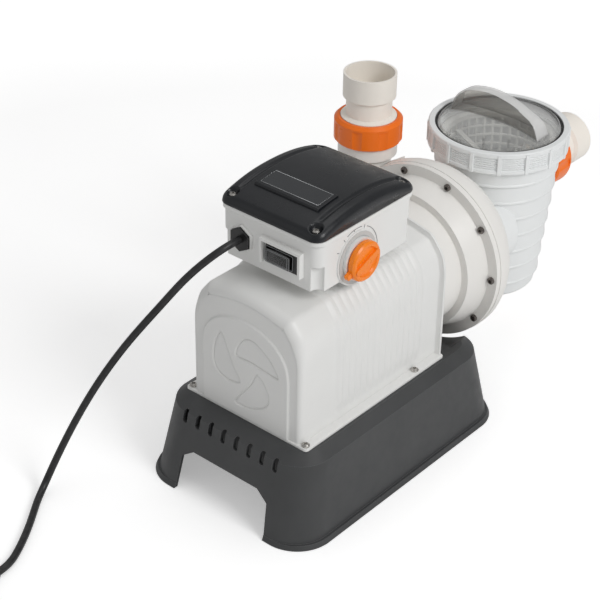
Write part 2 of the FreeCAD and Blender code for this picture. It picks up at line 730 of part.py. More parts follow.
def make_volute():
    """Casing: flange, domed shell, suction tube and the outlet elbow."""
    rear = "volute_rear"
    shell = [
        ("volute_radius", "bracket_rear"), ("volute_radius", 153), (87.5, 160), (83, 168),
        (76, 177.2), (68, 184.6), (60, 190), (55, rear), (27, rear), (27, 179),
        (24.4, 179), (24.4, 170), (27.8, 170), (30, f"{rear} - 4"), (54, f"{rear} - 4"),
        (65, 182), (73, 174.6), (79.4, 166.4), (83, 160), (83, 157), (77.8, 156),
        (77.8, "bracket_rear")]
    body = new_body("volute_shell")
    spin_profile(body, shell)
    place(body, 0, 0, "axis_height", "back")
    side, station, low = "outlet_side", "outlet_station", "axis_height + 24.5"
    top = "union_top - 15"
    outside = joined("volute_outside", [
        body,
        barrel("outlet_pipe", "stub_radius", f"{top} - ({low})", side, station, low),
        ball("outlet_elbow", "stub_radius", side, station, low),
        barrel("outlet_branch", "stub_radius - 2", "-outlet_side - 64", side, station, low,
               "right"),
        barrel("outlet_thread", "stub_radius + 5.6", 24, side, station, f"{top} - 24"),
        gusset()])
    bore = "stub_radius - 4"
    inside = [
        barrel("outlet_bore", bore, f"{top} - ({low}) + 1", side, station, low),
        ball("outlet_bore_end", bore, side, station, low),
        barrel("outlet_branch_bore", "stub_radius - 6", "-outlet_side - 60", side, station,
               low, "right"),
        chamber(), bolt_holes()]
    return node("volute_casing", cut("volute_casing", outside, inside))


def bolt_holes():
    """Ten blind holes in the casing's flange."""
    holes = new_body("volute_bolt_holes")
    hole = pad(holes, "XY", lambda s: draw_circle(s, "bolt_ring", 0, "bolt_shank + 0.05"),
               143, 156)
    pattern(holes, hole, 10)
    place(holes, 0, 0, "axis_height", "back", -72)
    return holes


def ball(name, radius, x, y, z):
    """A Part sphere at a place."""
    sphere = DOC.addObject("Part::Sphere", name)
    bind(sphere, "Radius", radius)
    place(sphere, x, y, z)
    return sphere


def gusset():
    """Web that blends the outlet pipe into the casing's shoulder."""
    web = new_body("outlet_gusset")
    side = "outlet_side + stub_radius"
    corners = [(f"{side} - 12", "axis_height + 20"), (f"{side} + 20", "axis_height + 20"),
               (f"{side} + 20", "axis_height + 72"), (f"{side} + 2", "axis_height + 60"),
               (f"{side} - 12", "axis_height + 66")]
    pad(web, "XZ", lambda s: draw_polygon(s, corners), 150, 172)
    return web


def chamber():
    """Water space inside the casing, used to open the outlet branch into it."""
    space = new_body("volute_chamber")
    spin_profile(space, [
        (30.5, "bracket_rear + 4"), (77.7, "bracket_rear + 4"), (77.7, 156.2), (82.8, 157.2),
        (82.8, 160), (79.2, 166.3), (72.8, 174.4), (64.8, 181.8), (53.8, "volute_rear - 4.2"),
        (30.5, "volute_rear - 4.2")])
    place(space, 0, 0, "axis_height", "back")
    return space


def make_volute_seals():
    """Face seal of the casing and the ring between casing and strainer."""
    ring = new_body("volute_oring")
    spin_profile(ring, octagon(76.9, 142.75, 1.2))
    place(ring, 0, 0, "axis_height", "back")
    node("volute_oring", ring)
    return pump_part("suction_gasket", tube_outline(36, 28, "volute_rear", "volute_rear + 1.2"))


def octagon(radius, height, half):
    """Eight-sided section of a soft ring."""
    short = f"{half} * 0.4142"
    steps = [(half, f"-{short}"), (half, short), (short, half), (f"-{short}", half),
             (f"-{half}", short), (f"-{half}", f"-{short}"), (f"-{short}", f"-{half}"),
             (short, f"-{half}")]
    return [(f"{radius} + {a}", f"{height} + {b}") for a, b in steps]


# ---------------------------------------------------------------- strainer

def pot_outline():
    """Stepped, tapered cup with a threaded mouth, without its side openings."""
    steps = []
    rings = 7
    for index in range(rings):
        low = f"pot_bottom + 15.5 + {index} * 19.6"
        if index == 0:
            steps += [(45.6, "pot_bottom"), (48.4, "pot_bottom + 3")]
        bead = f"52.2 + {index} * 1.65"
        steps += [(f"50 + {index} * 1.65", low), (bead, low), (bead, f"{low} + 1.7"),
                  (f"51.5 + {index} * 1.65", f"{low} + 2.8")]
    mouth = [(62.4, 221), (66, 221), (66, "pot_rim"), (61, "pot_rim"),
             (61, "pot_rim - 3.5"), (59, "pot_rim - 3.5"), (59, "pot_rim - 6.5"),
             (55.8, "pot_rim - 9"), (57.2, 200)]
    return [(0, "pot_bottom")] + steps + mouth + [
        (46, "pot_bottom + pot_wall + 1"), (0, "pot_bottom + pot_wall + 1")]


def make_pot():
    """Strainer pot with its suction neck in front and inlet stub behind."""
    cup = new_body("pot_cup")
    spin_profile(cup, pot_outline())
    place(cup, 0, "strainer_station")
    core = new_body("pot_core")
    spin_profile(core, [(0, "pot_bottom + pot_wall + 1"), (46, "pot_bottom + pot_wall + 1"),
                        (57.2, 200), (55.8, "pot_rim - 9"), (0, "pot_rim - 9")])
    place(core, 0, "strainer_station")
    rear = "volute_rear + 1.2"
    neck = new_body("pot_neck")
    pad(neck, "XZ", lambda s: draw_rounded(s, 0, "axis_height", 54, 38, 35), rear,
        "strainer_station - 33")
    space = new_body("pot_neck_space")
    pad(space, "XZ", lambda s: draw_rounded(s, 0, "axis_height", 50.5, 34.5, 31.5),
        f"{rear} - 1", "strainer_station - 36.5")
    cavity = cut("pot_neck_cavity", space, [
        barrel("pot_neck_tube", 31, 60, 0, f"{rear} - 2", "axis_height", "back"),
        barrel("pot_neck_keep", 59, 180, 0, "strainer_station", 50)])
    stub_start = "strainer_station + 40"
    stub = barrel("inlet_pipe", "stub_radius", f"inlet_face - 15 - ({stub_start})", 0,
                  stub_start, "inlet_height", "back")
    thread = barrel("inlet_thread", "stub_radius + 5.6", 24, 0, "inlet_face - 39",
                    "inlet_height", "back")
    shape = joined("pot_whole", [cup, neck, stub, thread])
    bores = [core, cavity,
             barrel("pot_suction_bore", 27, 60, 0, f"{rear} - 1", "axis_height", "back"),
             barrel("inlet_bore", "stub_radius - 4", 80, 0, "strainer_station + 30",
                    "inlet_height", "back")]
    return node("strainer_pot", cut("strainer_pot", shape, bores))


def make_basket():
    """Slotted basket that hangs from the pot's ledge, and its bail handle."""
    basket = new_body("basket_cup")
    spin_profile(basket, [
        (0, 90), (43, 90), ("basket_radius", 226.4), ("basket_radius + 1.6", "pot_rim - 8.6"),
        (58.4, "pot_rim - 6.4"), (58.4, "pot_rim - 4.6"), ("basket_radius - 1", "pot_rim - 4.6"),
        ("basket_radius - 2", 226), (41, 92), (0, 92)])
    windows = new_body("basket_windows")
    window = pad(windows, "XZ", lambda s: draw_rounded(s, 0, 118, 5.4, 17, 2), 30, 60)
    pattern(windows, window, 12)
    window = pad(windows, "XZ", lambda s: draw_rounded(s, 0, 157, 6, 17, 2), 30, 60)
    pattern(windows, window, 12)
    window = pad(windows, "XZ", lambda s: draw_rounded(s, 0, 196, 6.6, 17, 2), 30, 60)
    pattern(windows, window, 12)
    for piece in (basket, windows):
        place(piece, 0, "strainer_station")
    node("strainer_basket", cut("strainer_basket", basket, [windows]))
    bail = new_body("basket_handle")
    span = "basket_radius - 2.6"
    arch = [(f"-({span})", 221), (f"-({span} - 2.4)", 221), ("-20", 207), (20, 207),
            (f"{span} - 2.4", 221), (span, 221), (22, 204), (-22, 204)]
    pad(bail, "XZ", lambda s: draw_polygon(s, arch), -3, 3)
    place(bail, 0, "strainer_station")
    return node("basket_handle", bail)


def make_lid_parts():
    """Clear lid with its arched grip, the seal under it and the lock collar."""
    turned("lid_oring", octagon(63.4, "pot_rim + 0.9", 0.8), y="strainer_station")
    seat = "pot_rim + 1.8"
    lid = new_body("lid_shell")
    spin_profile(lid, [
        (60, seat), (66, seat), (66, "collar_top - 4.4"), ("lid_radius", "collar_top - 4.4"),
        ("lid_radius", "collar_top - 0.8"), (60, "collar_top + 1.2"), (40, "collar_top + 4.6"),
        (0, "collar_top + 6.4"), (0, "collar_top + 3.6"), (39, "collar_top + 1.8"),
        (58, "collar_top - 1.6"), (60, "collar_top - 3")])
    place(lid, 0, "strainer_station")
    grip = new_body("lid_grip")
    top = "collar_top + 33"
    hoop = [(-54, "collar_top"), (-50, "collar_top + 12"), (-39, "collar_top + 27"),
            (-26, top), (-6, f"{top} - 0.6"), (20, f"{top} - 10"), (42, "collar_top + 12"),
            (52, "collar_top")]
    pad(grip, "XZ", lambda s: draw_polygon(s, hoop), -9, 9)
    place(grip, 0, "strainer_station")
    hollow = new_body("lid_grip_hollow")
    inner = [(-50, "collar_top - 1"), (-47, "collar_top + 11"), (-37, "collar_top + 24.6"),
             (-25.4, f"{top} - 2.6"), (-6.4, f"{top} - 3.2"), (18.6, f"{top} - 12.2"),
             (39, "collar_top + 11"), (48, "collar_top - 1")]
    pad(hollow, "XZ", lambda s: draw_polygon(s, inner), -6.6, 6.6)
    place(hollow, 0, "strainer_station")
    under = new_body("lid_underside")
    spin_profile(under, [
        (0, seat), (57.9, seat), (57.9, "collar_top - 1.7"), (39, "collar_top + 1.7"),
        (0, "collar_top + 3.5")])
    place(under, 0, "strainer_station")
    node("clear_lid", cut("clear_lid", joined("lid_whole", [lid, grip]), [hollow, under]))
    return make_collar()


def make_collar():
    """Ribbed ring that screws over the pot's mouth and clamps the lid."""
    collar = new_body("lock_collar")
    outer = "collar_radius"
    beads = []
    for level in (228.8, 231, 233.2, 235.4, 237.6):
        beads += [(f"{outer} - 1.6", level), (f"{outer} - 0.8", level + 0.4),
                  (f"{outer} - 0.8", level + 1), (f"{outer} - 1.6", level + 1.4)]
    spin_profile(collar, [
        (66.4, 223), (f"{outer} - 1.2", 223), (outer, 224.2), (outer, 227),
        (f"{outer} - 1.6", 228)] + beads + [(f"{outer} - 1.6", 240), (outer, 241.2),
        (outer, "collar_top - 1"), (f"{outer} - 1", "collar_top"),
        ("lid_radius + 0.5", "collar_top"), ("lid_radius + 0.5", "collar_top - 4.3"),
        (66.4, "collar_top - 4.3")])
    rib = pad(collar, "XY", lambda s: draw_rounded(s, f"{outer} - 0.7", 0, 1.5, 2, 0.5),
              223.5, 244)
    pattern(collar, rib, 16)
    place(collar, 0, "strainer_station", 0, "up", -54)
    return node("lock_collar", collar)


# ---------------------------------------------------------------- unions

def make_union(name, x, y, z, facing, spin):
    """Seal, hose tail and lobed nut on one threaded stub.

    Heights run along the stub from the nut's outer face, which is at zero.
    """
    turned(name + "_seal", tube_outline(27.5, 20.5, -15, -14), x, y, z, facing)
    hose, sleeve = "hose_radius", "hose_radius + 2.2"
    turned(name + "_tail", [
        (19, -13.9), (29.3, -13.9), (29.3, -6.2), (27.8, -6.2), (27.8, 0.6), (22.8, 2.4),
        (22.8, 19), (sleeve, 21.5), (sleeve, "21.5 + hose_depth"),
        (hose, "21.5 + hose_depth"), (hose, 21.5), (19, 21.5)], x, y, z, facing)
    nut = new_body(name + "_nut")
    spin_profile(nut, [
        (30.1, "-nut_height"), ("nut_radius - 1.5", "-nut_height"),
        ("nut_radius", "1.5 - nut_height"), ("nut_radius", -3), ("nut_radius - 3", 0),
        (28.2, 0), (28.2, -6), (30.1, -6)])
    grip = pocket(nut, "XY", lambda s: draw_circle(s, "nut_radius + 10.6", 0, 12),
                  "-nut_height - 1", -5)
    pattern(nut, grip, 8)
    place(nut, x, y, z, facing, spin)
    return node(name + "_nut", nut)


def make_unions():
    """Outlet union on the casing and inlet union on the pot."""
    make_union("outlet", "outlet_side", "outlet_station", "union_top", "up", 20)
    return make_union("inlet", 0, "inlet_face", "inlet_height", "back", 0)


# ---------------------------------------------------------------- control box

def box_half_length():
    """Half the box's length and its middle station."""
    return "(box_rear - box_front) / 2", "(box_rear + box_front) / 2"


def make_control_box():
    """Open-topped box on the cover, with scalloped corners and a dial boss."""
    half_y, mid = box_half_length()
    box = new_body("box_shell")
    pad(box, "XY", lambda s: draw_rounded(s, 0, mid, "box_half", half_y, 10),
        "box_bottom", "box_top")
    pad(box, "XY", lambda s: draw_rounded(s, 0, mid, "box_half + 1.4", f"{half_y} + 2", 11),
        "box_top - 4", "box_top")
    pad(box, "YZ", lambda s: draw_circle(s, "knob_station", "knob_height", 26),
        "box_half - 5", "box_half + 1.2")
    pad(box, "YZ", lambda s: draw_circle(s, "knob_station", "knob_height", 20),
        "box_half", "box_half + 5")
    hood = [(-6, 238), (-3.4, 238), (-3.4, 259.6), (37.6, 259.6), (37.6, 238), (40.2, 238),
            (40.2, 262), (-6, 262)]
    pad(box, "XZ", lambda s: draw_polygon(s, hood), "box_front - 6", "box_front + 1")
    pad(box, "XZ", lambda s: draw_polygon(s, hexagon("gland_side", "gland_height", 13.4)),
        "box_front - 3", "box_front + 1")
    pocket(box, "XZ", lambda s: draw_polygon(s, hexagon("gland_side", "gland_height", 12.1)),
           "box_front - 4", "box_front - 0.4")
    cavity = new_body("box_cavity")
    pad(cavity, "XY", lambda s: draw_rounded(
        s, 0, mid, "box_half - box_wall", f"{half_y} - box_wall", 7.6),
        "box_bottom + box_wall", "box_top + 1")
    keeps, scallops = [], []
    for index, (x, y) in enumerate(box_corners()):
        keeps.append(barrel(f"box_column_{index}", 9.6, 30, x, y, "box_bottom - 3"))
        scallops.append(barrel(f"box_scallop_{index}", 7, 25, x, y, "box_bottom - 1"))
    for index, (x, y) in enumerate(lid_screw_spots()):
        keeps.append(barrel(f"box_boss_{index}", 5.4, 22, x, y, "box_top - 22"))
    hollow = cut("box_hollow", cavity, keeps)
    return node("control_box", cut("control_box", box, [hollow, box_openings()] + scallops))


def box_corners():
    """Centres of the scallops at the box's lower corners."""
    return [(f"{side} * (box_half - 1.5)", y)
            for side in (-1, 1) for y in ("box_front + 1.5", "box_rear - 1.5")]


def hexagon(x, z, corner):
    """A hexagon with a corner straight up, by its distance from the middle."""
    half = f"{corner} * 0.866"
    quarter = f"{corner} * 0.5"
    return [(x, f"{z} + {corner}"), (f"{x} - {half}", f"{z} + {quarter}"),
            (f"{x} - {half}", f"{z} - {quarter}"), (x, f"{z} - {corner}"),
            (f"{x} + {half}", f"{z} - {quarter}"), (f"{x} + {half}", f"{z} + {quarter}")]


def box_openings():
    """Openings for the switch, gland, spindle, leads and screws, as solids."""
    tool = new_body("box_openings")
    pad(tool, "XZ", lambda s: draw_rounded(s, 17.1, 248, 19.6, 10.6, 1),
        "box_front - 1", "box_front + box_wall + 1")
    pad(tool, "XZ", lambda s: draw_circle(s, "gland_side", "gland_height", 8.1),
        "box_front - 2", "box_front + box_wall + 1")
    pad(tool, "YZ", lambda s: draw_circle(s, "knob_station", "knob_height", 4.1),
        "box_half - 8", "box_half + 6")
    pad(tool, "XY", lambda s: draw_circle(s, 0, -30, 5),
        "box_bottom - 1", "box_bottom + box_wall + 1")
    for x, y in box_screw_spots():
        pad(tool, "XY", lambda s: draw_circle(s, x, y, 2.1),
            "box_bottom - 1", "box_bottom + box_wall + 1")
    for x, y in lid_screw_spots():
        pad(tool, "XY", lambda s: draw_circle(s, x, y, 1.7), "box_top - 15", "box_top + 1")
    return tool


def lid_screw_spots():
    """Where the four lid screws stand."""
    return [(x, y) for x in (-47.2, 47.2) for y in (-79.4, 35.8)]


def make_box_lid():
    """Crowned lid with a sunken middle and a recess for each screw, and its gasket."""
    half_y, mid = box_half_length()
    half_x = "box_half + 1.5"
    seat, edge = "box_top + 1", "box_top + 7"
    front, rear = "box_front - 3", "box_rear + 2.5"
    crown = new_body("lid_crown")
    quarter = f"(({rear}) - ({front})) / 4"
    arch = [(front, seat), (rear, seat), (rear, edge),
            (f"{rear} - 0.35 * {quarter}", f"{edge} + 0.36 * lid_crown"),
            (f"{rear} - {quarter}", f"{edge} + 0.76 * lid_crown"),
            (f"{rear} - 2 * {quarter}", f"{edge} + lid_crown"),
            (f"{front} + {quarter}", f"{edge} + 0.76 * lid_crown"),
            (f"{front} + 0.35 * {quarter}", f"{edge} + 0.36 * lid_crown"), (front, edge)]
    pad(crown, "YZ", lambda s: draw_polygon(s, arch), f"-({half_x})", half_x)
    plan = new_body("lid_plan")
    pad(plan, "XY", lambda s: draw_rounded(s, 0, f"(({rear}) + ({front})) / 2", half_x,
                                           f"(({rear}) - ({front})) / 2", 11),
        "box_top - 2", "box_top + 40")
    dome = DOC.addObject("Part::MultiCommon", "lid_dome")
    dome.Shapes = [crown, plan]
    plate = new_body("lid_plate")
    pad(plate, "YZ", lambda s: draw_polygon(s, [
        (f"{front} + 24.5", f"{edge} + 4"), (f"{front} + 24.5", f"{edge} + 9"),
        (f"{front} + 26", f"{edge} + 10.2"), (f"{front} + 48", f"{edge} + 12.6"),
        (f"{front} + 52", f"{edge} + 4")]), -37, 37)
    valleys = []
    for name, side in (("lid_valley_left", "-46.6"), ("lid_valley_right", "42.6")):
        valley = new_body(name)
        sunk = [(y, f"{z} - 1.3") for y, z in arch[2:]]
        sunk = [(rear, f"{edge} + 20")] + sunk[1:-1] + [(front, f"{edge} + 20")]
        pad(valley, "YZ", lambda s: draw_polygon(s, sunk), side, f"{side} + 4")
        valleys.append(valley)
    raised = joined("lid_raised", [dome, plate])
    hollow = new_body("lid_hollow")
    shrink = [(f"{front} + 3", f"{seat} - 1"), (f"{rear} - 3", f"{seat} - 1"),
              (f"{rear} - 3", f"{edge} - 1"),
              (f"{rear} - {quarter}", f"{edge} + 0.76 * lid_crown - 3"),
              (f"{rear} - 2 * {quarter}", f"{edge} + lid_crown - 3"),
              (f"{front} + {quarter}", f"{edge} + 0.76 * lid_crown - 3"),
              (f"{front} + 3", f"{edge} - 1")]
    pad(hollow, "YZ", lambda s: draw_polygon(s, shrink), f"-({half_x}) + 3", f"{half_x} - 3")
    keeps, holes = [], []
    for index, (x, y) in enumerate(lid_screw_spots()):
        keeps.append(barrel(f"lid_post_{index}", 6, 40, x, y, "box_top - 5"))
        holes.append(barrel(f"lid_hole_{index}", 1.9, 30, x, y, "box_top - 5"))
        holes.append(barrel(f"lid_recess_{index}", 4.6, 20, x, y, f"{edge} - 1.2"))
    space = cut("lid_space", hollow, keeps)
    node("control_lid", cut("control_lid", raised, [space] + valleys + holes))
    gasket = new_body("lid_gasket")
    pad(gasket, "XY", lambda s: draw_rounded(s, 0, mid, "box_half", half_y, 10),
        "box_top", seat)
    pocket(gasket, "XY", lambda s: draw_rounded(
        s, 0, mid, "box_half - box_wall", f"{half_y} - box_wall", 7.6),
        "box_top - 1", "box_top + 2")
    node("lid_gasket", gasket)
    return screw_set("lid_screws", lid_screw_spots(), 3.4, 1.5, f"{edge} - 1.1", 2.4, 18, 1.8)


def make_timer():
    """Timer module inside the wall, and the knob on its spindle."""
    timer = new_body("timer_module")
    station, height = "knob_station", "knob_height"
    pad(timer, "YZ", lambda s: draw_rounded(s, station, f"{height} + 7", 20, 16, 3), 20, 50.8)
    pocket(timer, "YZ", lambda s: draw_circle(s, station, height, 3.04), 32, 52)
    node("timer_module", timer)
    turned("timer_dial", tube_outline(24.6, 20.3, "box_half + 1.2", "box_half + 1.8"),
           0, station, height, "right")
    knob = new_body("timer_knob")
    face = "box_half + 12.6"
    spin_profile(knob, [
        (0, 33), (3, 33), (3, "box_half + 5.4"), ("knob_radius - 1.4", "box_half + 5.4"),
        ("knob_radius", "box_half + 6.8"), ("knob_radius", f"{face} - 1.6"),
        ("knob_radius - 1.6", face), ("knob_radius - 4.4", face),
        ("knob_radius - 5.6", f"{face} - 1.6"), (0, f"{face} - 1.6")])
    pad(knob, "XY", lambda s: draw_rounded(s, 0, 0, 3, "knob_radius - 2.4", 2.8),
        f"{face} - 2", f"{face} + 1.2")
    pad(knob, "XY", lambda s: draw_rounded(s, 0, "-knob_radius - 0.6", 2.6, 4.6, 1.2),
        "box_half + 5.6", "box_half + 9.6")
    place(knob, 0, station, height, "right", 22)
    return node("timer_knob", knob)


def make_switch():
    """Switch housing in the front wall, its rocker and its clear splash cap."""
    body = new_body("switch_body")
    pad(body, "XZ", lambda s: draw_rounded(s, 17.1, 248, 19.4, 10.4, 1),
        "box_front - 0.6", "box_front + 24")
    pocket(body, "XZ", lambda s: draw_rounded(s, 13, 246.6, 14.4, 6.6, 1),
           "box_front - 1", "box_front + 9")
    node("switch_body", body)
    rocker = new_body("switch_rocker")
    wedge = [(-0.4, "box_front - 3.6"), (13, "box_front - 1.4"), (26.4, "box_front - 2.6"),
             (24, "box_front + 5"), (13, "box_front + 7"), (2, "box_front + 5")]
    pad(rocker, "XY", lambda s: draw_polygon(s, wedge), 240.6, 252.6)
    return node("switch_rocker", rocker)


def make_gland():
    """Cable gland in the front wall: threaded body, rubber sleeve and hexagon nut."""
    x, z = "gland_side", "gland_height"
    front = "box_front"
    turned("gland_body", [
        (5.2, f"{front} - 2.8"), (8, f"{front} - 2.8"), (8, f"{front} + 6"),
        (11, f"{front} + 6"), (11, f"{front} + 10"), (5.2, f"{front} + 10")], x, 0, z, "back")
    turned("gland_seal", tube_outline(5.1, "cable_radius + 0.05", f"{front} - 2.9", f"{front} + 9"),
           x, 0, z, "back")
    nut = new_body("gland_nut")
    pad(nut, "XZ", lambda s: draw_polygon(s, hexagon(x, z, 11.8)), f"{front} - 4.8",
        f"{front} - 0.4")
    pocket(nut, "XZ", lambda s: draw_circle(s, x, z, 8.1), f"{front} - 3", f"{front} + 1")
    pocket(nut, "XZ", lambda s: draw_circle(s, x, z, "cable_radius + 0.1"),
           f"{front} - 6", f"{front} - 2")
    return node("gland_nut", nut)


def cable_path():
    """Control points of the cable between its straight ends, from gland to plug."""
    x, z, front = value("gland_side"), value("gland_height"), value("box_front")
    floor = value("cable_radius") + 0.1
    droop = [
        (x, front - 13, z), (x, front - 22, z), (x - 8, front - 36, z - 9),
        (x - 26, front - 48, z - 32), (-73, -144, 190), (-92, -162, 158), (-108, -178, 126),
        (-121, -193, 94), (-132, -208, 60), (-139, -224, 28), (-141, -238, 5)]
    flat = [(-132, -254), (-118, -272), (-104, -292), (-92, -312), (-84, -328), (-84, -342)]
    return [Vector(*point) for point in droop + [(x, y, floor) for x, y in flat]]


def make_cable():
    """Supply cable: straight in the gland, drooping to the floor, straight in the plug."""
    points = cable_path()
    ahead = Vector(0, -1, 0)
    curve = Part.BSplineCurve()
    curve.buildFromPoles(points, False, 3)
    inside = points[0] - ahead * 29
    spine = Part.Wire([
        Part.LineSegment(inside, points[0]).toShape(), curve.toShape(),
        Part.LineSegment(points[-1], points[-1] + ahead * 10).toShape()])
    start = Part.Circle(inside, ahead, value("cable_radius"))
    cable = DOC.addObject("Part::Feature", "power_cable")
    cable.Shape = spine.makePipeShell([Part.Wire([start.toShape()])], True, True)
    cable.Placement = FreeCAD.Placement()
    return node("power_cable", cable)


def make_plug():
    """Moulded plug at the end of the cable, and its two pins."""
    end = cable_path()[-1]
    plug = new_body("plug_solid")
    spin_profile(plug, [
        (3.5, 342), (4.6, 342), (6, 358), (11, 364), (13.6, 370), (13.6, 394), (12.6, 398),
        (0, 398), (0, 352.3), (3.5, 352.3)])
    place(plug, end.x, 0, end.z, "front")
    floor = bar("plug_floor", end.x - 30, -430, -30, 60, 100, 30)
    node("plug_body", cut("plug_body", plug, [floor]))
    pins = new_body("plug_pins")
    for side in (-6.4, 6.4):
        pad(pins, "XZ", lambda s: draw_rounded(s, end.x + side, end.z, 0.75, 3.1, 0.5),
            -416, -398)
    return node("plug_pins", pins)


def make_box_inside():
    """Start capacitor, terminal block, motor leads and the box's own screws."""
    body = new_body("capacitor")
    spin_profile(body, [(0, -26), (15, -26), (16, -25), (16, 31), (0, 31)])
    place(body, -30, 0, 248, "back")
    node("capacitor", body)
    block = new_body("terminal_block")
    pad(block, "XY", lambda s: draw_rounded(s, 14, 32, 24, 7, 1), "box_bottom + box_wall", 246)
    for index in range(4):
        pocket(block, "XY", lambda s: draw_circle(s, -2 + 10.6 * index, 32, 2.6), 240, 247)
    node("terminal_block", block)
    leads = new_body("motor_leads")
    for side in (-2.2, 0, 2.2):
        pad(leads, "XY", lambda s: draw_circle(s, side, -30, 1), 197, 244)
    node("motor_leads", leads)
    return screw_set("box_screws", box_screw_spots(), 3.6, 1.55, "box_bottom + box_wall",
                     2.4, 13, 1.9)


# ---------------------------------------------------------------- the whole pump

def check_model():
    """Stop when any object failed to rebuild or any sub-part is not a valid solid."""
    for thing in DOC.Objects:
        bad = [state for state in thing.State if state in ("Invalid", "Error")]
        if bad:
            raise RuntimeError(f"{thing.Name} did not rebuild: {bad}")
    for part in NODES:
        shape = part.Shape
        if shape.isNull() or not shape.isValid() or not shape.Solids:
            raise RuntimeError(f"{part.Label} is not a valid solid")


def write_steps():
    """Write one STEP file for each sub-part."""
    os.makedirs("parts", exist_ok=True)
    for part in NODES:
        part.Shape.exportStep(f"parts/{part.Label}.step")


def make_pump():
    """Build every sub-part, from the floor up."""
    make_base()
    make_motor_cover()
    make_cover_screws()
    make_cradle()
    make_stator()
    make_bells()
    make_tie_bolts()
    make_rotor_parts()
    make_adapter()
    make_bracket()
    make_seal_and_impeller()
    make_volute()
    make_volute_seals()
    make_volute_bolts()
    make_pot()
    make_basket()
    make_lid_parts()
    make_unions()
    make_control_box()
    make_box_lid()
    make_box_inside()
    make_timer()
    make_switch()
    make_gland()
    make_cable()
    make_plug()


fill_sheet()
make_pump()
DOC.recompute()
check_model()
write_steps()
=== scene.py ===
"""Looks of a pool pump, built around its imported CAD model.

Lengths are in metres in the CAD model's frame: the shaft lies along +Y with the fan
in front, +Z is up, and the timer knob faces +X.
"""
import json
import math

import bmesh
import bpy
from mathutils import Matrix, Vector


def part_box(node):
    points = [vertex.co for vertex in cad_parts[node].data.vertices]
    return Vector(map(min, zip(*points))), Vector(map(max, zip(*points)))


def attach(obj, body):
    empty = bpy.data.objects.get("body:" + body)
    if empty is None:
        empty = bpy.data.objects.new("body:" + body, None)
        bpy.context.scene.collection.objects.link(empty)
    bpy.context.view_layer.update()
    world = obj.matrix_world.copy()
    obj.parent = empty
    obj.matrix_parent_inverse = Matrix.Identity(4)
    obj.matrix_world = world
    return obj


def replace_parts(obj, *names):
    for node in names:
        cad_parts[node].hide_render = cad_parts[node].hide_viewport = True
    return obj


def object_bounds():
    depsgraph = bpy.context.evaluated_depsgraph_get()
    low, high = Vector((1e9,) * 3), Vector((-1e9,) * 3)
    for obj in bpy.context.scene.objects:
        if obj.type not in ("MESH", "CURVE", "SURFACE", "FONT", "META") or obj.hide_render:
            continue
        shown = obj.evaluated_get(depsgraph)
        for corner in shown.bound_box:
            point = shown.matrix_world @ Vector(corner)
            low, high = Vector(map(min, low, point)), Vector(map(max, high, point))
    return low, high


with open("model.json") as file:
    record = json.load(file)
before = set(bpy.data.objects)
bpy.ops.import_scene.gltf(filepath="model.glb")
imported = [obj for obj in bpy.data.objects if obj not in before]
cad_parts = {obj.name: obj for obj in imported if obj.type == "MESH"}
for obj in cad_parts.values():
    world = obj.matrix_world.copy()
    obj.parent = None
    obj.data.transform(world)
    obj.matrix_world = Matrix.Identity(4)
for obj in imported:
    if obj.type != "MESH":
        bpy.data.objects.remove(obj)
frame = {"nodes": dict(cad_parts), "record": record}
CAD_BOX = [list(corner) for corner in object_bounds()]
MM = 0.001


def middle(node):
    """The middle of a CAD node's box."""
    low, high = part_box(node)
    return (low + high) / 2


# ---------------------------------------------------------------- numbers

def mix(start, end, share):
    """The value a share of the way from start to end."""
    return start + (end - start) * share


def ease(share):
    """A share from 0 to 1 that starts and stops gently."""
    share = min(1.0, max(0.0, share))
    return share * share * (3 - 2 * share)


def steps(low, high, gap):
    """Evenly spaced values from low to high, about a gap apart."""
    count = max(1, round((high - low) / gap))
    return [mix(low, high, index / count) for index in range(count + 1)]


def rounded_path(corners):
    """Points along an open outline of (x, z, radius) corners, with an arc at each corner."""
    path = [Vector(corners[0][:2])]
    for index in range(1, len(corners) - 1):
        before, here, after = (Vector(corners[index + k][:2]) for k in (-1, 0, 1))
        radius = corners[index][2]
        inward, outward = (here - before).normalized(), (after - here).normalized()
        turn = inward.angle_signed(outward)
        reach = radius * math.tan(abs(turn) / 2)
        start = here - inward * reach
        side = Vector((inward.y, -inward.x)) * math.copysign(1, turn)
        centre = start + side * radius
        count = max(2, round(math.degrees(abs(turn)) / 3))
        for step in range(count + 1):
            spoke = (start - centre)
            spoke.rotate(Matrix.Rotation(-turn * step / count, 2))
            path.append(centre + spoke)
    path.append(Vector(corners[-1][:2]))
    return path


def spaced(path, count):
    """The path again, as evenly spaced points."""
    lengths = [0.0]
    for first, second in zip(path, path[1:]):
        lengths.append(lengths[-1] + (second - first).length)
    result, part = [], 0
    for index in range(count):
        target = lengths[-1] * index / (count - 1)
        while part < len(path) - 2 and lengths[part + 1] < target:
            part += 1
        span = lengths[part + 1] - lengths[part]
        share = 0 if span == 0 else (target - lengths[part]) / span
        result.append(path[part].lerp(path[part + 1], share))
    return result


def normals(path):
    """The outward normal at each point of a path that runs anticlockwise."""
    result = []
    for index in range(len(path)):
        ahead = path[min(index + 1, len(path) - 1)] - path[max(index - 1, 0)]
        result.append(Vector((ahead.y, -ahead.x)).normalized())
    return result


def inside_depth(x, z, outline):
    """How far a point lies inside a closed outline of (x, z) points; negative outside."""
    nearest, inside = 1e9, False
    ax, az = outline[-1]
    for bx, bz in outline:
        ex, ez = bx - ax, bz - az
        share = min(1, max(0, ((x - ax) * ex + (z - az) * ez) / (ex * ex + ez * ez)))
        nearest = min(nearest, math.hypot(x - ax - ex * share, z - az - ez * share))
        if (az > z) != (bz > z) and x < ax + (z - az) / ez * ex:
            inside = not inside
        ax, az = bx, bz
    return nearest if inside else -nearest


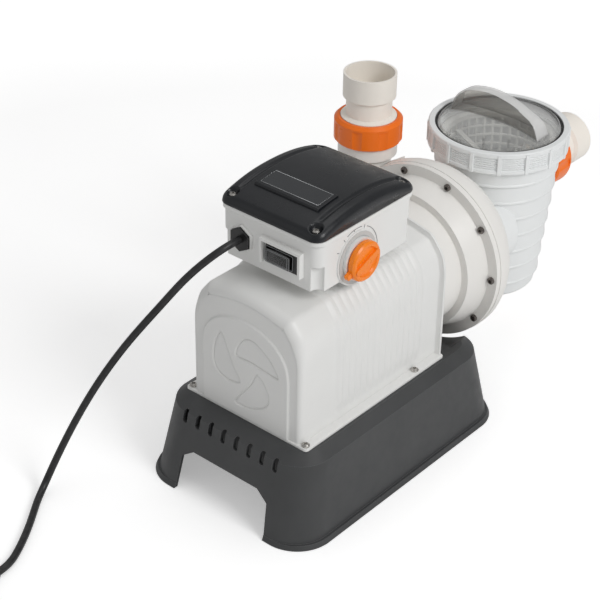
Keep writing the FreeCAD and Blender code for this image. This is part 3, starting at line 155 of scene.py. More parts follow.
def smooth_loop(points, count=6):
    """A closed outline through points, with curved sides."""
    loop, total = [], len(points)
    for index in range(total):
        a, b, c, d = (Vector(points[(index + k) % total]) for k in (-1, 0, 1, 2))
        for step in range(count):
            s = step / count
            loop.append(0.5 * (2 * b + (c - a) * s + (2 * a - 5 * b + 4 * c - d) * s ** 2
                               + (3 * b - a - 3 * c + d) * s ** 3))
    return loop


def squared_disc(u, v, half_x, half_y, corner):
    """A point of a rounded rectangle for (u, v) in a square from -1 to 1."""
    x, y = u * half_x, v * half_y
    over_x, over_y = abs(x) - (half_x - corner), abs(y) - (half_y - corner)
    if over_x > 0 and over_y > 0:
        p, q = over_x / corner, over_y / corner
        over_x = corner * p * math.sqrt(1 - q * q / 2)
        over_y = corner * q * math.sqrt(1 - p * p / 2)
        x = math.copysign(half_x - corner + over_x, x)
        y = math.copysign(half_y - corner + over_y, y)
    return x, y


def rounded_loop(half_x, half_y, corner, count=8):
    """A rounded rectangle about (0, 0), anticlockwise."""
    loop = []
    for quarter in range(4):
        sx, sy = ((1, -1), (1, 1), (-1, 1), (-1, -1))[quarter]
        for step in range(count + 1):
            angle = math.pi / 2 * (quarter - 1 + step / count)
            loop.append(Vector((sx * (half_x - corner) + corner * math.cos(angle),
                                sy * (half_y - corner) + corner * math.sin(angle))))
    return loop


# ---------------------------------------------------------------- meshes

def grid_faces(rows, columns, around=False):
    """Quads of a grid of points stored row by row."""
    faces = []
    for row in range(rows - 1):
        for column in range(columns if around else columns - 1):
            following = (column + 1) % columns
            first, second = row * columns, (row + 1) * columns
            faces.append((first + column, first + following,
                          second + following, second + column))
    return faces


def new_piece(name, points, faces, body, material, sharp=38):
    """A mesh piece that rides on a body, smooth except at sharp edges."""
    mesh = bpy.data.meshes.new(name)
    mesh.from_pydata([tuple(point) for point in points], [], faces)
    shape = bmesh.new()
    shape.from_mesh(mesh)
    bmesh.ops.remove_doubles(shape, verts=shape.verts, dist=2e-6)
    bmesh.ops.recalc_face_normals(shape, faces=shape.faces)
    shape.to_mesh(mesh)
    shape.free()
    mesh.shade_smooth()
    mesh.set_sharp_from_angle(angle=math.radians(sharp))
    piece = bpy.data.objects.new(name, mesh)
    bpy.context.scene.collection.objects.link(piece)
    mesh.materials.append(material)
    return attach(piece, body)


def thicken(piece, thickness):
    """Give a sheet a wall on its inner side."""
    wall = piece.modifiers.new("wall", "SOLIDIFY")
    wall.thickness = thickness
    wall.offset = -1.0
    return piece


def soften(piece, width, segments=2):
    """Round the sharp edges of a piece."""
    edge = piece.modifiers.new("soft_edges", "BEVEL")
    edge.width = width
    edge.segments = segments
    edge.limit_method = "ANGLE"
    edge.angle_limit = math.radians(35)
    return piece


def turned(outline, centre, count=96):
    """Points and faces of a closed (radius, height) outline turned about an upright axis."""
    points = []
    for radius, height in outline:
        for step in range(count):
            angle = 2 * math.pi * step / count
            offset = (radius * math.cos(angle), radius * math.sin(angle), height)
            points.append(Vector(centre) + Vector(offset))
    faces = grid_faces(len(outline), count, around=True)
    last = (len(outline) - 1) * count
    closing = [(last + k, last + (k + 1) % count, (k + 1) % count, k) for k in range(count)]
    return points, faces + closing


def slab(loop, centre, low, high, edge, hole=None):
    """A flat plate with a softened top edge, from a closed outline, with an optional hole."""
    count = len(loop)
    outward = normals([loop[-1]] + loop + [loop[0]])[1:-1]
    levels = [(0, low), (0, high - edge), (edge * 0.3, high - edge * 0.3), (edge, high)]
    points = []
    for inset, height in levels:
        points += [Vector((centre[0] + p.x - n.x * inset, centre[1] + p.y - n.y * inset,
                           height)) for p, n in zip(loop, outward)]
    faces = grid_faces(len(levels), count, around=True)
    top = (len(levels) - 1) * count
    if hole is None:
        faces += [tuple(range(top, top + count)), tuple(reversed(range(count)))]
        return points, faces
    start = len(points)
    for height in (high, low):
        points += [Vector((centre[0] + p.x, centre[1] + p.y, height)) for p in hole]
    for k in range(count):
        after = (k + 1) % count
        faces.append((top + k, top + after, start + after, start + k))
        faces.append((start + k, start + after, start + count + after, start + count + k))
        faces.append((start + count + k, start + count + after, after, k))
    return points, faces


def merged(*parts):
    """Several (points, faces) meshes as one."""
    points, faces = [], []
    for more_points, more_faces in parts:
        start = len(points)
        points += more_points
        faces += [tuple(index + start for index in face) for face in more_faces]
    return points, faces


def bead(name, paths, radius, body, material, flat=1.0):
    """Thin round-topped lines along open or closed paths of points."""
    parts = []
    for path, closed in paths:
        count, ring, points = len(path), 8, []
        for index, point in enumerate(path):
            ahead = path[(index + 1) % count] if closed or index < count - 1 else point
            behind = path[index - 1] if closed or index > 0 else point
            along = (ahead - behind).normalized()
            side = along.cross(Vector((0, 0, 1)))
            if side.length < 0.1:
                side = along.cross(Vector((1, 0, 0)))
            side.normalize()
            up = side.cross(along)
            for step in range(ring):
                angle = 2 * math.pi * step / ring
                points.append(point + side * radius * math.cos(angle)
                              + up * radius * flat * math.sin(angle))
        faces = grid_faces(count, ring, around=True)
        last = (count - 1) * ring
        if closed:
            faces += [(last + k, last + (k + 1) % ring, (k + 1) % ring, k)
                      for k in range(ring)]
        else:
            faces += [tuple(range(ring)), tuple(reversed(range(last, last + ring)))]
        parts.append((points, faces))
    points, faces = merged(*parts)
    return new_piece(name, points, faces, body, material, 60)


# ---------------------------------------------------------------- finishes

def linear(*levels):
    """A colour given in screen levels from 0 to 255, as linear light."""
    shares = [level / 255 for level in levels]
    return [s / 12.92 if s <= 0.04045 else ((s + 0.055) / 1.055) ** 2.4 for s in shares]


class Recipe:
    """A material's node tree, with short calls for the nodes that it needs."""

    def __init__(self, name):
        self.material = bpy.data.materials.new(name)
        self.material.use_nodes = True
        self.tree = self.material.node_tree
        self.tree.nodes.clear()
        self.output = self.add("OutputMaterial")
        self.places = self.add("TexCoord").outputs["Object"]

    def add(self, kind, **values):
        """A node with some of its inputs set or linked."""
        made = self.tree.nodes.new("ShaderNode" + kind)
        for name, given in values.items():
            self.feed(made.inputs[name.replace("_", " ")], given)
        return made

    def feed(self, socket, given):
        """Link a socket, or set its value."""
        if isinstance(given, bpy.types.NodeSocket):
            self.tree.links.new(given, socket)
        elif isinstance(given, (list, tuple)) and len(given) == 3 and len(
                getattr(socket, "default_value", (0, 0, 0))) == 4:
            socket.default_value = (*given, 1)
        else:
            socket.default_value = given

    def cloud(self, scale, detail=2.0, stretch=(1, 1, 1)):
        """Soft noise from 0 to 1, with a scale in cells per metre."""
        spread = self.add("Mapping", Vector=self.places, Scale=stretch)
        made = self.add("TexNoise", Vector=spread.outputs[0], Scale=scale, Detail=detail)
        return made.outputs["Fac"]

    def span(self, source, low, high, start=0.3, end=0.7):
        """A value mapped from start..end to low..high."""
        made = self.add("MapRange", Value=source)
        for name, given in (("From Min", start), ("From Max", end),
                            ("To Min", low), ("To Max", high)):
            made.inputs[name].default_value = given
        return made.outputs["Result"]

    def blend(self, share, first, second):
        """A mix of two colours."""
        made = self.tree.nodes.new("ShaderNodeMix")
        made.data_type = "RGBA"
        self.feed(made.inputs[0], share)
        self.feed(made.inputs[6], first)
        self.feed(made.inputs[7], second)
        return made.outputs[2]

    def soft_normal(self, radius):
        """The surface normal with small round edges."""
        made = self.tree.nodes.new("ShaderNodeBevel")
        made.samples = 4
        made.inputs["Radius"].default_value = radius
        return made.outputs[0]

    def worn(self, rounded):
        """A share that is 0 on flats and grows on edges."""
        plain = self.add("NewGeometry").outputs["Normal"]
        same = self.tree.nodes.new("ShaderNodeVectorMath")
        same.operation = "DOT_PRODUCT"
        self.feed(same.inputs[0], plain)
        self.feed(same.inputs[1], rounded)
        return self.span(same.outputs["Value"], 1.0, 0.0, 0.75, 0.99)

    def relief(self, height, depth, normal):
        """A normal with fine relief of a depth in metres."""
        made = self.add("Bump", Height=height, Normal=normal, Strength=1.0)
        made.inputs["Distance"].default_value = depth
        return made.outputs[0]

    def finish(self, shader):
        """Send a shader to the output."""
        self.tree.links.new(shader, self.output.inputs["Surface"])
        return self.material


def moulded(name, colour, rough, grain=12e-6, mottle=0.03, wear=0.12, coat=0.0):
    """Moulded plastic: faint mottling, fine spark-eroded grain and paler edges."""
    recipe = Recipe(name)
    rounded = recipe.soft_normal(0.7 * MM)
    pale = [min(1.0, level * (1 + mottle) + mottle * 0.1) for level in colour]
    deep = [level * (1 - mottle) for level in colour]
    worn = [mix(level, 1.0, wear) for level in colour]
    base = recipe.blend(recipe.span(recipe.cloud(22, 3), 0, 1), deep, pale)
    speck = recipe.span(recipe.cloud(2600, 1), 0, 0.5, 0.62, 0.8)
    base = recipe.blend(speck, base, [level * 0.93 for level in colour])
    base = recipe.blend(recipe.worn(rounded), base, worn)
    fine = recipe.relief(recipe.cloud(2400, 2), grain, rounded)
    wavy = recipe.relief(recipe.cloud(60, 1), grain * 3, fine)
    roughness = recipe.span(recipe.cloud(90, 4), rough - 0.05, rough + 0.07)
    shader = recipe.add("BsdfPrincipled", Base_Color=base, Roughness=roughness, Normal=wavy,
                        Coat_Weight=coat, Coat_Roughness=0.2)
    return recipe.finish(shader.outputs[0])


def rubber(name, colour, rough):
    """Matt rubber with a dusty bloom."""
    recipe = Recipe(name)
    rounded = recipe.soft_normal(0.0004)
    dusty = [mix(level, 0.2, 0.12) for level in colour]
    base = recipe.blend(recipe.span(recipe.cloud(140, 4), 0, 0.7), colour, dusty)
    normal = recipe.relief(recipe.cloud(1500, 3), 18e-6, rounded)
    roughness = recipe.span(recipe.cloud(200, 2), rough - 0.08, rough + 0.1)
    shader = recipe.add("BsdfPrincipled", Base_Color=base, Roughness=roughness, Normal=normal)
    return recipe.finish(shader.outputs[0])


def metal(name, colour, rough, brushed=(1, 1, 1), stain=0.25):
    """Bare metal with fine marks along one direction and darker stains."""
    recipe = Recipe(name)
    rounded = recipe.soft_normal(0.0003)
    dark = [level * (1 - stain) for level in colour]
    base = recipe.blend(recipe.span(recipe.cloud(260, 4), 0, 1), colour, dark)
    normal = recipe.relief(recipe.cloud(1400, 2, brushed), 6e-6, rounded)
    roughness = recipe.span(recipe.cloud(500, 3, brushed), rough - 0.07, rough + 0.1)
    shader = recipe.add("BsdfPrincipled", Base_Color=base, Roughness=roughness,
                        Normal=normal, Metallic=1.0)
    return recipe.finish(shader.outputs[0])


def laminated(name, colour, rough):
    """A stack of thin steel sheets across the shaft."""
    recipe = Recipe(name)
    sheets = recipe.cloud(2000, 0, (0.02, 1, 0.02))
    base = recipe.blend(recipe.span(sheets, 0, 1), colour, [level * 0.5 for level in colour])
    normal = recipe.relief(sheets, 60e-6, recipe.soft_normal(0.0004))
    shader = recipe.add("BsdfPrincipled", Base_Color=base, Roughness=rough, Normal=normal,
                        Metallic=0.8)
    return recipe.finish(shader.outputs[0])


def wound(name, colour):
    """Varnished copper wire laid in turns."""
    recipe = Recipe(name)
    turns = recipe.cloud(1100, 1, (1, 0.15, 1))
    base = recipe.blend(recipe.span(turns, 0, 1), colour, [level * 0.35 for level in colour])
    normal = recipe.relief(turns, 300e-6, recipe.soft_normal(0.0005))
    shader = recipe.add("BsdfPrincipled", Base_Color=base, Roughness=0.3, Normal=normal,
                        Metallic=0.7, Coat_Weight=0.5)
    return recipe.finish(shader.outputs[0])


def clear(name, tint, edge_tint, rough=0.06, veil=0.08, haze=0.85):
    """Clear plastic: see-through face on, darker and brighter at a slant."""
    recipe = Recipe(name)
    slant = recipe.add("LayerWeight", Blend=0.5).outputs["Facing"]
    steep = recipe.tree.nodes.new("ShaderNodeMath")
    steep.operation = "POWER"
    recipe.feed(steep.inputs[0], slant)
    steep.inputs[1].default_value = 3.0
    normal = recipe.relief(recipe.cloud(45, 1), 60e-6, recipe.soft_normal(0.0006))
    seen = recipe.blend(steep.outputs[0], tint, edge_tint)
    through = recipe.add("BsdfTransparent", Color=seen)
    skin = recipe.add("BsdfPrincipled", Base_Color=(haze, haze, haze), Normal=normal,
                      Roughness=recipe.span(recipe.cloud(70, 3), rough, rough + 0.08))
    share = recipe.span(steep.outputs[0], veil, 0.8, 0.0, 1.0)
    both = recipe.add("MixShader", Fac=share)
    recipe.feed(both.inputs[1], through.outputs[0])
    recipe.feed(both.inputs[2], skin.outputs[0])
    return recipe.finish(both.outputs[0])


def make_finishes():
    """One material for each slot of the record, and a few for the added pieces."""
    white, orange = linear(232, 232, 230), linear(255, 118, 0)
    return {
        "base_plastic": moulded("base_plastic", linear(62, 63, 64), 0.46, 12e-6, 0.05, 0.1),
        "housing_plastic": moulded("housing_plastic", white, 0.42, mottle=0.012, wear=0.2),
        "control_plastic": moulded("control_plastic", linear(15, 18, 23), 0.3, 6e-6, 0.05,
                                   0.1),
        "orange_plastic": moulded("orange_plastic", orange, 0.32, 8e-6, 0.03, 0.03),
        "pump_plastic": moulded("pump_plastic", linear(238, 236, 232), 0.4, mottle=0.012,
                                wear=0.2),
        "pot_plastic": moulded("pot_plastic", linear(238, 240, 240), 0.36, mottle=0.012,
                               wear=0.2),
        "clear_plastic": clear("clear_plastic", (0.99, 0.99, 0.985), (0.78, 0.78, 0.77),
                               veil=0.1, haze=0.95),
        "basket_plastic": moulded("basket_plastic", linear(232, 232, 228), 0.45),
        "black_plastic": moulded("black_plastic", linear(18, 18, 19), 0.3, mottle=0.05,
                                 wear=0.08),
        "grey_plastic": moulded("grey_plastic", linear(196, 196, 194), 0.45),
        "union_plastic": moulded("union_plastic", linear(249, 243, 234), 0.38, mottle=0.015,
                                 wear=0.2),
        "seal_rubber": rubber("seal_rubber", linear(24, 24, 25), 0.62),
        "cable_rubber": rubber("cable_rubber", linear(22, 22, 24), 0.4),
        "bright_steel": metal("bright_steel", linear(206, 203, 198), 0.24),
        "dark_steel": metal("dark_steel", linear(132, 126, 122), 0.3, stain=0.5),
        "core_steel": laminated("core_steel", linear(140, 140, 142), 0.42),
        "cast_alloy": metal("cast_alloy", linear(196, 197, 199), 0.5, stain=0.15),
        "copper": wound("copper", linear(196, 104, 52)),
        "brass": metal("brass", linear(214, 178, 98), 0.26, (1, 12, 1)),
        "seal_ceramic": moulded("seal_ceramic", linear(232, 228, 218), 0.2),
        "label": moulded("label", linear(33, 36, 40), 0.22, 5e-6, 0.02, 0.1, 0.4),
        "label_line": metal("label_line", linear(212, 214, 216), 0.3, (8, 1, 1), 0.1),
        "dial_ink": moulded("dial_ink", linear(150, 152, 154), 0.5, mottle=0.02),
        # Two copies of the clear finish for the lid's grip: a paler, hazier one whose whiteness
        # is painted sheen on the grip's top, and a darker one that is painted shade on its side
        # walls.
        "grip_top_painted_sheen": clear("grip_top_painted_sheen", (0.95, 0.95, 0.94), (0.8, 0.8, 0.79), 0.12,
                              0.5, 0.95),
        "grip_wall_painted_shade": clear("grip_wall_painted_shade", (0.84, 0.835, 0.82), (0.5, 0.495, 0.48), 0.08,
                           0.1, 0.6),
        "knob_plastic": moulded("knob_plastic", linear(255, 134, 4), 0.28, 8e-6, 0.03, 0.03),
        "splash_cap": clear("splash_cap", (0.93, 0.93, 0.93), (0.7, 0.7, 0.7), 0.1, 0.03,
                            0.4),
    }


FINISH = make_finishes()


def dress(piece):
    """Return a new piece unchanged."""
    return piece


# ---------------------------------------------------------------- motor cover

COVER_HALF = 64 * MM
COVER_TOP = 219.5 * MM
COVER_FRONT = -115.5 * MM
COVER_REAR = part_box("motor_cover")[1].y
FLANGE_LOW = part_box("motor_cover")[0].z
FLANGE_HIGH = FLANGE_LOW + 2.6 * MM
RIB_START, RIB_PITCH, RIB_COUNT, RIB_HEIGHT = -62.2 * MM, 8.6 * MM, 14, 1.7 * MM
PANEL_HALF, PANEL_SPRING, PANEL_RISE = 50.7 * MM, 145 * MM, 45 * MM
EMBLEM_HEIGHT = 139 * MM


def cover_section():
    """The cover's arched section, from the right foot over the top to the left foot."""
    right = [(COVER_HALF, FLANGE_HIGH - 0.001, 0), (COVER_HALF, COVER_TOP - 0.042, 0.04),
             (COVER_HALF - 0.0032, COVER_TOP - 0.026, 0.022),
             (COVER_HALF - 0.0157, COVER_TOP - 0.0106, 0.009)]
    left = [(-x, z, radius) for x, z, radius in reversed(right)]
    return spaced(rounded_path(right + [(0, COVER_TOP, 0.12)] + left), 260)


def rib_height(y, z):
    """How far the ribs stand out at a station; they fade out above the flange."""
    place = (y - RIB_START) / RIB_PITCH
    nearest = min(RIB_COUNT - 1, max(0, round(place)))
    wave = max(0.0, math.cos(math.pi * min(1, abs(place - nearest) * 1.5) / 2)) ** 1.3
    return RIB_HEIGHT * wave * ease((z - FLANGE_HIGH - 0.006) / 0.014)


def emblem_outlines():
    """Three swept fan blades about the panel's centre."""
    blade = [(-27, 29), (-20, 15), (-13.5, 0), (-5, -14), (-16, -18.5), (-29, -16.5),
             (-36, -9), (-37.5, 2), (-36, 14), (-32, 24)]
    outlines = []
    for turn in range(3):
        spin = Matrix.Rotation(math.radians(120 * turn), 2)
        loop = smooth_loop([spin @ Vector(point) * MM for point in blade], 4)
        outlines.append([(point.x, point.y + EMBLEM_HEIGHT) for point in loop])
    return outlines


def panel_outline():
    """The raised panel: straight sides under a flat arch."""
    arch = []
    for step in range(33):
        turn = math.pi * step / 32
        arch.append((PANEL_HALF * math.cos(turn),
                     PANEL_SPRING + PANEL_RISE * math.sin(turn) ** 0.8))
    low = FLANGE_HIGH - 0.01
    return [(PANEL_HALF, low)] + arch + [(-PANEL_HALF, low)]


def front_relief(x, z, panel, blades):
    """How far the front face stands out at a point: panel up, blades down."""
    height = 1.9 * MM * ease(inside_depth(x, z, panel) / (1.9 * MM) + 0.5)
    if math.hypot(x, z - EMBLEM_HEIGHT) < 44 * MM:
        depth = max(inside_depth(x, z, blade) for blade in blades)
        groove = ease(1 - abs(depth - 0.3 * MM) / (1.2 * MM))
        height -= 0.9 * MM * groove + 0.9 * MM * ease(depth / MM + 0.5)
    return height


def cover_skin():
    """The ribbed shell with its rounded front edge and rear lip, and the front face."""
    section = cover_section()
    outward = normals(section)
    columns = len(section)
    top_share = [ease((point.y - 0.165) / 0.03) for point in section]
    points = []
    for step in range(9):
        angle = math.pi / 2 * step / 8
        for index, point in enumerate(section):
            radius = mix(5, 10, top_share[index]) * MM
            y = COVER_FRONT + radius * (1 - math.cos(angle))
            spot = point - outward[index] * radius * (1 - math.sin(angle))
            points.append(Vector((spot.x, y, spot.y)))
    for y in steps(COVER_FRONT + 10.5 * MM, COVER_REAR - 4.2 * MM, 0.8 * MM):
        for index, point in enumerate(section):
            spot = point + outward[index] * rib_height(y, point.y)
            points.append(Vector((spot.x, y, spot.y)))
    for back, stand in ((3.6, 0.5), (3.1, 5.2), (2.5, 5.5), (0.6, 5.5), (0, 5.0)):
        points += [Vector((p.x + n.x * stand * MM, COVER_REAR - back * MM,
                           p.y + n.y * stand * MM)) for p, n in zip(section, outward)]
    faces = grid_faces(len(points) // columns, columns)
    face_points, face_faces = cover_face(points[:columns])
    return merged((points, faces), (face_points, face_faces))


def cover_face(border):
    """The front face as upright columns of points under the border's outline."""
    panel, blades = panel_outline(), emblem_outlines()
    widest = max(point.x for point in border)
    low, rows, points = FLANGE_HIGH - 0.0005, 230, []
    columns = steps(-widest, widest, 0.55 * MM)
    for x in columns:
        high = max(mix(a.z, b.z, 0 if a.x == b.x else (x - a.x) / (b.x - a.x))
                   for a, b in zip(border, border[1:])
                   if min(a.x, b.x) <= x <= max(a.x, b.x)) + 0.2 * MM
        for row in range(rows + 1):
            z = mix(low, high, row / rows)
            edge = ease((high - z) / (3 * MM)) * ease((widest - abs(x)) / (3 * MM))
            stand = front_relief(x, z, panel, blades) * edge
            points.append(Vector((x * (1 + 0.3 * MM / widest), COVER_FRONT - stand, z)))
    return points, grid_faces(len(columns), rows + 1)


def make_cover():
    """Everything that stands for the CAD cover."""
    points, faces = cover_skin()
    skin = new_piece("cover_skin", points, faces, "frame", FINISH["housing_plastic"], 50)
    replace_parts(thicken(skin, 2.6 * MM), "motor_cover")
    low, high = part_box("motor_cover")
    centre = (low + high) / 2
    half_x, half_y = (high.x - low.x) / 2, (high.y - low.y) / 2
    outline = rounded_loop(half_x, half_y, 3 * MM)
    hole = rounded_loop(half_x - 15 * MM, half_y - 8 * MM, 2 * MM)
    points, faces = slab(outline, centre, FLANGE_LOW, FLANGE_HIGH, 0.6 * MM, hole)
    flange = new_piece("cover_flange", points, faces, "frame", FINISH["housing_plastic"])
    points, faces = slab(rounded_loop(38 * MM, 44 * MM, 4 * MM), (0, -18 * MM),
                         COVER_TOP - 0.02, high.z, 0.2 * MM)
    pedestal = new_piece("cover_pedestal", points, faces, "frame", FINISH["housing_plastic"])
    for piece in (skin, flange, pedestal):
        dress(piece)


# ---------------------------------------------------------------- control box

LID_CORNER = 11 * MM
LID_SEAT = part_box("control_lid")[0].z
LID_EDGE = LID_SEAT + 6 * MM
LID_CROWN = 12 * MM


def lid_frame():
    """The control lid's middle and half sizes."""
    low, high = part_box("control_lid")
    centre = (low + high) / 2
    return centre, (high.x - low.x) / 2, (high.y - low.y) / 2


def lid_screw_spots():
    """Where the lid screws stand, from the CAD screws' box."""
    low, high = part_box("lid_screws")
    return [(x, y) for x in (low.x + 3.4 * MM, high.x - 3.4 * MM)
            for y in (low.y + 3.4 * MM, high.y - 3.4 * MM)]


def lid_height(x, y, gap, half_y, screws):
    """The lid's top at a point measured from its middle; gap is the way to its border."""
    crown = LID_CROWN * (1 - abs(y / half_y) ** 2.2)
    side = 1.6 * MM * ease((abs(x) - 40 * MM) / (18 * MM))
    height = LID_EDGE + crown - side
    valley = abs(abs(x) - 44.6 * MM) / (3.4 * MM)
    ends = ease((half_y - abs(y) - 9 * MM) / (16 * MM))
    if valley < 1:
        height -= 1.7 * MM * (1 - valley * valley) ** 2 * ends
    for screw_x, screw_y in screws:
        away = math.hypot(x - screw_x, y - screw_y)
        if away < 8 * MM:
            floor = LID_EDGE - 1.1 * MM
            height = mix(floor, height, ease((away - 4.2 * MM) / (2.2 * MM)))
    radius = 6 * MM
    if gap < radius:
        height -= radius * (1 - math.sqrt(max(0, 1 - ((radius - gap) / radius) ** 2)))
    return height


def make_control_lid():
    """Crowned lid with side valleys, screw recesses and a skirt."""
    centre, half_x, half_y = lid_frame()
    screws = [(x - centre.x, y - centre.y) for x, y in lid_screw_spots()]
    columns, rows, points = 150, 170, []
    for row in range(rows + 1):
        for column in range(columns + 1):
            u, v = 2 * column / columns - 1, 2 * row / rows - 1
            u, v = (math.sin(s * math.pi / 2) * 0.35 + s * 0.65 for s in (u, v))
            x, y = squared_disc(u, v, half_x, half_y, LID_CORNER)
            gap = border_gap(x, y, half_x, half_y, LID_CORNER)
            z = max(LID_SEAT + 0.5 * MM, lid_height(x, y, gap, half_y, screws))
            points.append(Vector((centre.x + x, centre.y + y, z)))
    faces = grid_faces(rows + 1, columns + 1)
    rim = rim_indices(rows, columns)
    start = len(points)
    points += [Vector((points[index].x, points[index].y, LID_SEAT)) for index in rim]
    for k in range(len(rim)):
        after = (k + 1) % len(rim)
        faces.append((rim[k], rim[after], start + after, start + k))
    lid = new_piece("control_lid_shell", points, faces, "frame", FINISH["control_plastic"], 55)
    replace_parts(dress(lid), "control_lid")
    thicken(lid, 2.4 * MM)


def border_gap(x, y, half_x, half_y, corner):
    """How far inside a rounded rectangle a point is."""
    over_x, over_y = abs(x) - (half_x - corner), abs(y) - (half_y - corner)
    if over_x > 0 and over_y > 0:
        return corner - math.hypot(over_x, over_y)
    return min(half_x - abs(x), half_y - abs(y))


def rim_indices(rows, columns):
    """The border of a grid of points, once round."""
    width = columns + 1
    bottom = list(range(width))
    right = [row * width + columns for row in range(1, rows + 1)]
    top = [rows * width + column for column in range(columns - 1, -1, -1)]
    left = [row * width for row in range(rows - 1, 0, -1)]
    return bottom + right + top + left


def make_label():
    """Raised plate on the lid, with a blank glossy label and its thin frame."""
    centre, _, half_y = lid_frame()
    front = centre.y - half_y + 24.5 * MM
    back = front + 27 * MM
    half = 36 * MM
    low = LID_EDGE + 2 * MM
    front_top, back_top = LID_EDGE + 10.3 * MM, LID_EDGE + 13.1 * MM
    outline = [(front - 0.8 * MM, low), (front, front_top - 1 * MM), (front + 1 * MM, front_top),
               (back, back_top), (back + 2 * MM, low)]
    points = [Vector((x, y, z)) for x in (-half, half) for y, z in outline]
    count = len(outline)
    faces = [(k, (k + 1) % count, count + (k + 1) % count, count + k) for k in range(count)]
    faces += [tuple(range(count)), tuple(range(count, 2 * count))]
    plate = new_piece("label_plate", points, faces, "frame", FINISH["control_plastic"])
    soften(dress(plate), 0.5 * MM, 3)
    slope = (back_top - front_top) / (back - front - 1 * MM)

    def on_plate(x, y, lift):
        return Vector((x, y, front_top + (y - front - 1 * MM) * slope + lift))

    near, far, wide = front + 4.5 * MM, back - 2.5 * MM, half - 3.5 * MM
    frame_path = [on_plate(x, y, 0.15 * MM) for x, y in
                  ((-wide, near), (wide, near), (wide, far), (-wide, far))]
    wide, near, far = wide - 0.5 * MM, near + 0.5 * MM, far - 0.5 * MM
    spots = [(-wide, near), (wide, near), (wide, far), (-wide, far)]
    points = [on_plate(x, y, lift) for lift in (-0.3 * MM, 0.12 * MM) for x, y in spots]
    faces = [(0, 1, 5, 4), (1, 2, 6, 5), (2, 3, 7, 6), (3, 0, 4, 7), (4, 5, 6, 7),
             (3, 2, 1, 0)]
    label = new_piece("blank_label", points, faces, "frame", FINISH["label"])
    soften(label, 0.1 * MM)
    bead("label_frame", [(frame_path, True)], 0.34 * MM, "frame", FINISH["label_line"], 0.6)


def dial_spot(radius, degrees):
    """A point on the control box's side wall, from the timer dial's middle."""
    centre, wall = middle("timer_dial"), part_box("timer_dial")[0].x - 1.05 * MM
    angle = math.radians(degrees)
    return Vector((wall, centre.y + radius * MM * math.cos(angle),
                   centre.z + radius * MM * math.sin(angle)))


def make_dial_marks():
    """Engraved arcs and ticks round the timer knob, with no lettering."""
    arcs = [[dial_spot(28.6, degrees) for degrees in range(start, end + 1, 3)]
            for start, end in ((-28, 62), (78, 118))]
    ticks = [[dial_spot(radius, degrees) for radius in (27, 30)]
             for degrees in (70, 98, 126, 150)]
    paths = [(path, False) for path in arcs + ticks]
    marks = bead("dial_marks", paths, 0.35 * MM, "frame", FINISH["dial_ink"])
    dress(marks)


def make_splash_cap():
    """Clear cap over the rocker with its pale edge, and the rim round the opening."""
    low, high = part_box("switch_rocker")
    grow = 0.35 * MM
    front = low.y - 0.9 * MM
    back = low.y - 0.35 * MM
    half_x, half_z = (high.x - low.x) / 2 + grow, (high.z - low.z) / 2 + grow
    mid = (low + high) / 2
    loop = rounded_loop(half_x, half_z, 1.2 * MM, 5)
    points = []
    for y, inset in ((back, 0), (front + 0.4 * MM, 0), (front, 0.5 * MM)):
        shrink = 1 - inset / half_z
        points += [Vector((mid.x + p.x * shrink, y, mid.z + p.y * shrink)) for p in loop]
    faces = grid_faces(3, len(loop), around=True)
    faces.append(tuple(range(2 * len(loop), 3 * len(loop))))
    cap = new_piece("rocker_cap", points, faces, "rocker", FINISH["splash_cap"])
    dress(thicken(cap, 0.3 * MM))
    rings = []
    for y, inset in ((front + 0.15 * MM, 0.9 * MM), (back - 0.1 * MM, 0.0)):
        shrink = 1 - inset / half_z
        rings.append(([Vector((mid.x + p.x * shrink, y, mid.z + p.y * shrink))
                       for p in loop], True))
    edge = bead("rocker_cap_edge", rings, 0.25 * MM, "rocker", FINISH["dial_ink"])
    dress(edge)
    opening = rounded_loop(half_x + 1.6 * MM, half_z + 0.9 * MM, 1.4 * MM, 5)
    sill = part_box("switch_body")[0].y - 0.3 * MM
    rim = [Vector((mid.x + p.x, sill, mid.z + p.y)) for p in opening]
    ring = bead("switch_sill", [(rim, True)], 0.35 * MM, "frame", FINISH["dial_ink"])
    dress(ring)


# ---------------------------------------------------------------- strainer

POT = middle("lock_collar")
COLLAR_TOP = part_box("lock_collar")[1].z
LID_RADIUS = 63.2 * MM


def dome_height(radius):
    """The clear lid's outer surface above the collar's top, with a raised rim."""
    share = min(1, radius / (56 * MM))
    dome = mix(6.6, 0.2, share ** 2.4) * MM
    rim = 1.3 * MM * ease(1 - abs(radius - 58.4 * MM) / (2.4 * MM))
    return COLLAR_TOP + dome + rim - 3.4 * MM * ease((radius - 60.2 * MM) / (0.7 * MM))


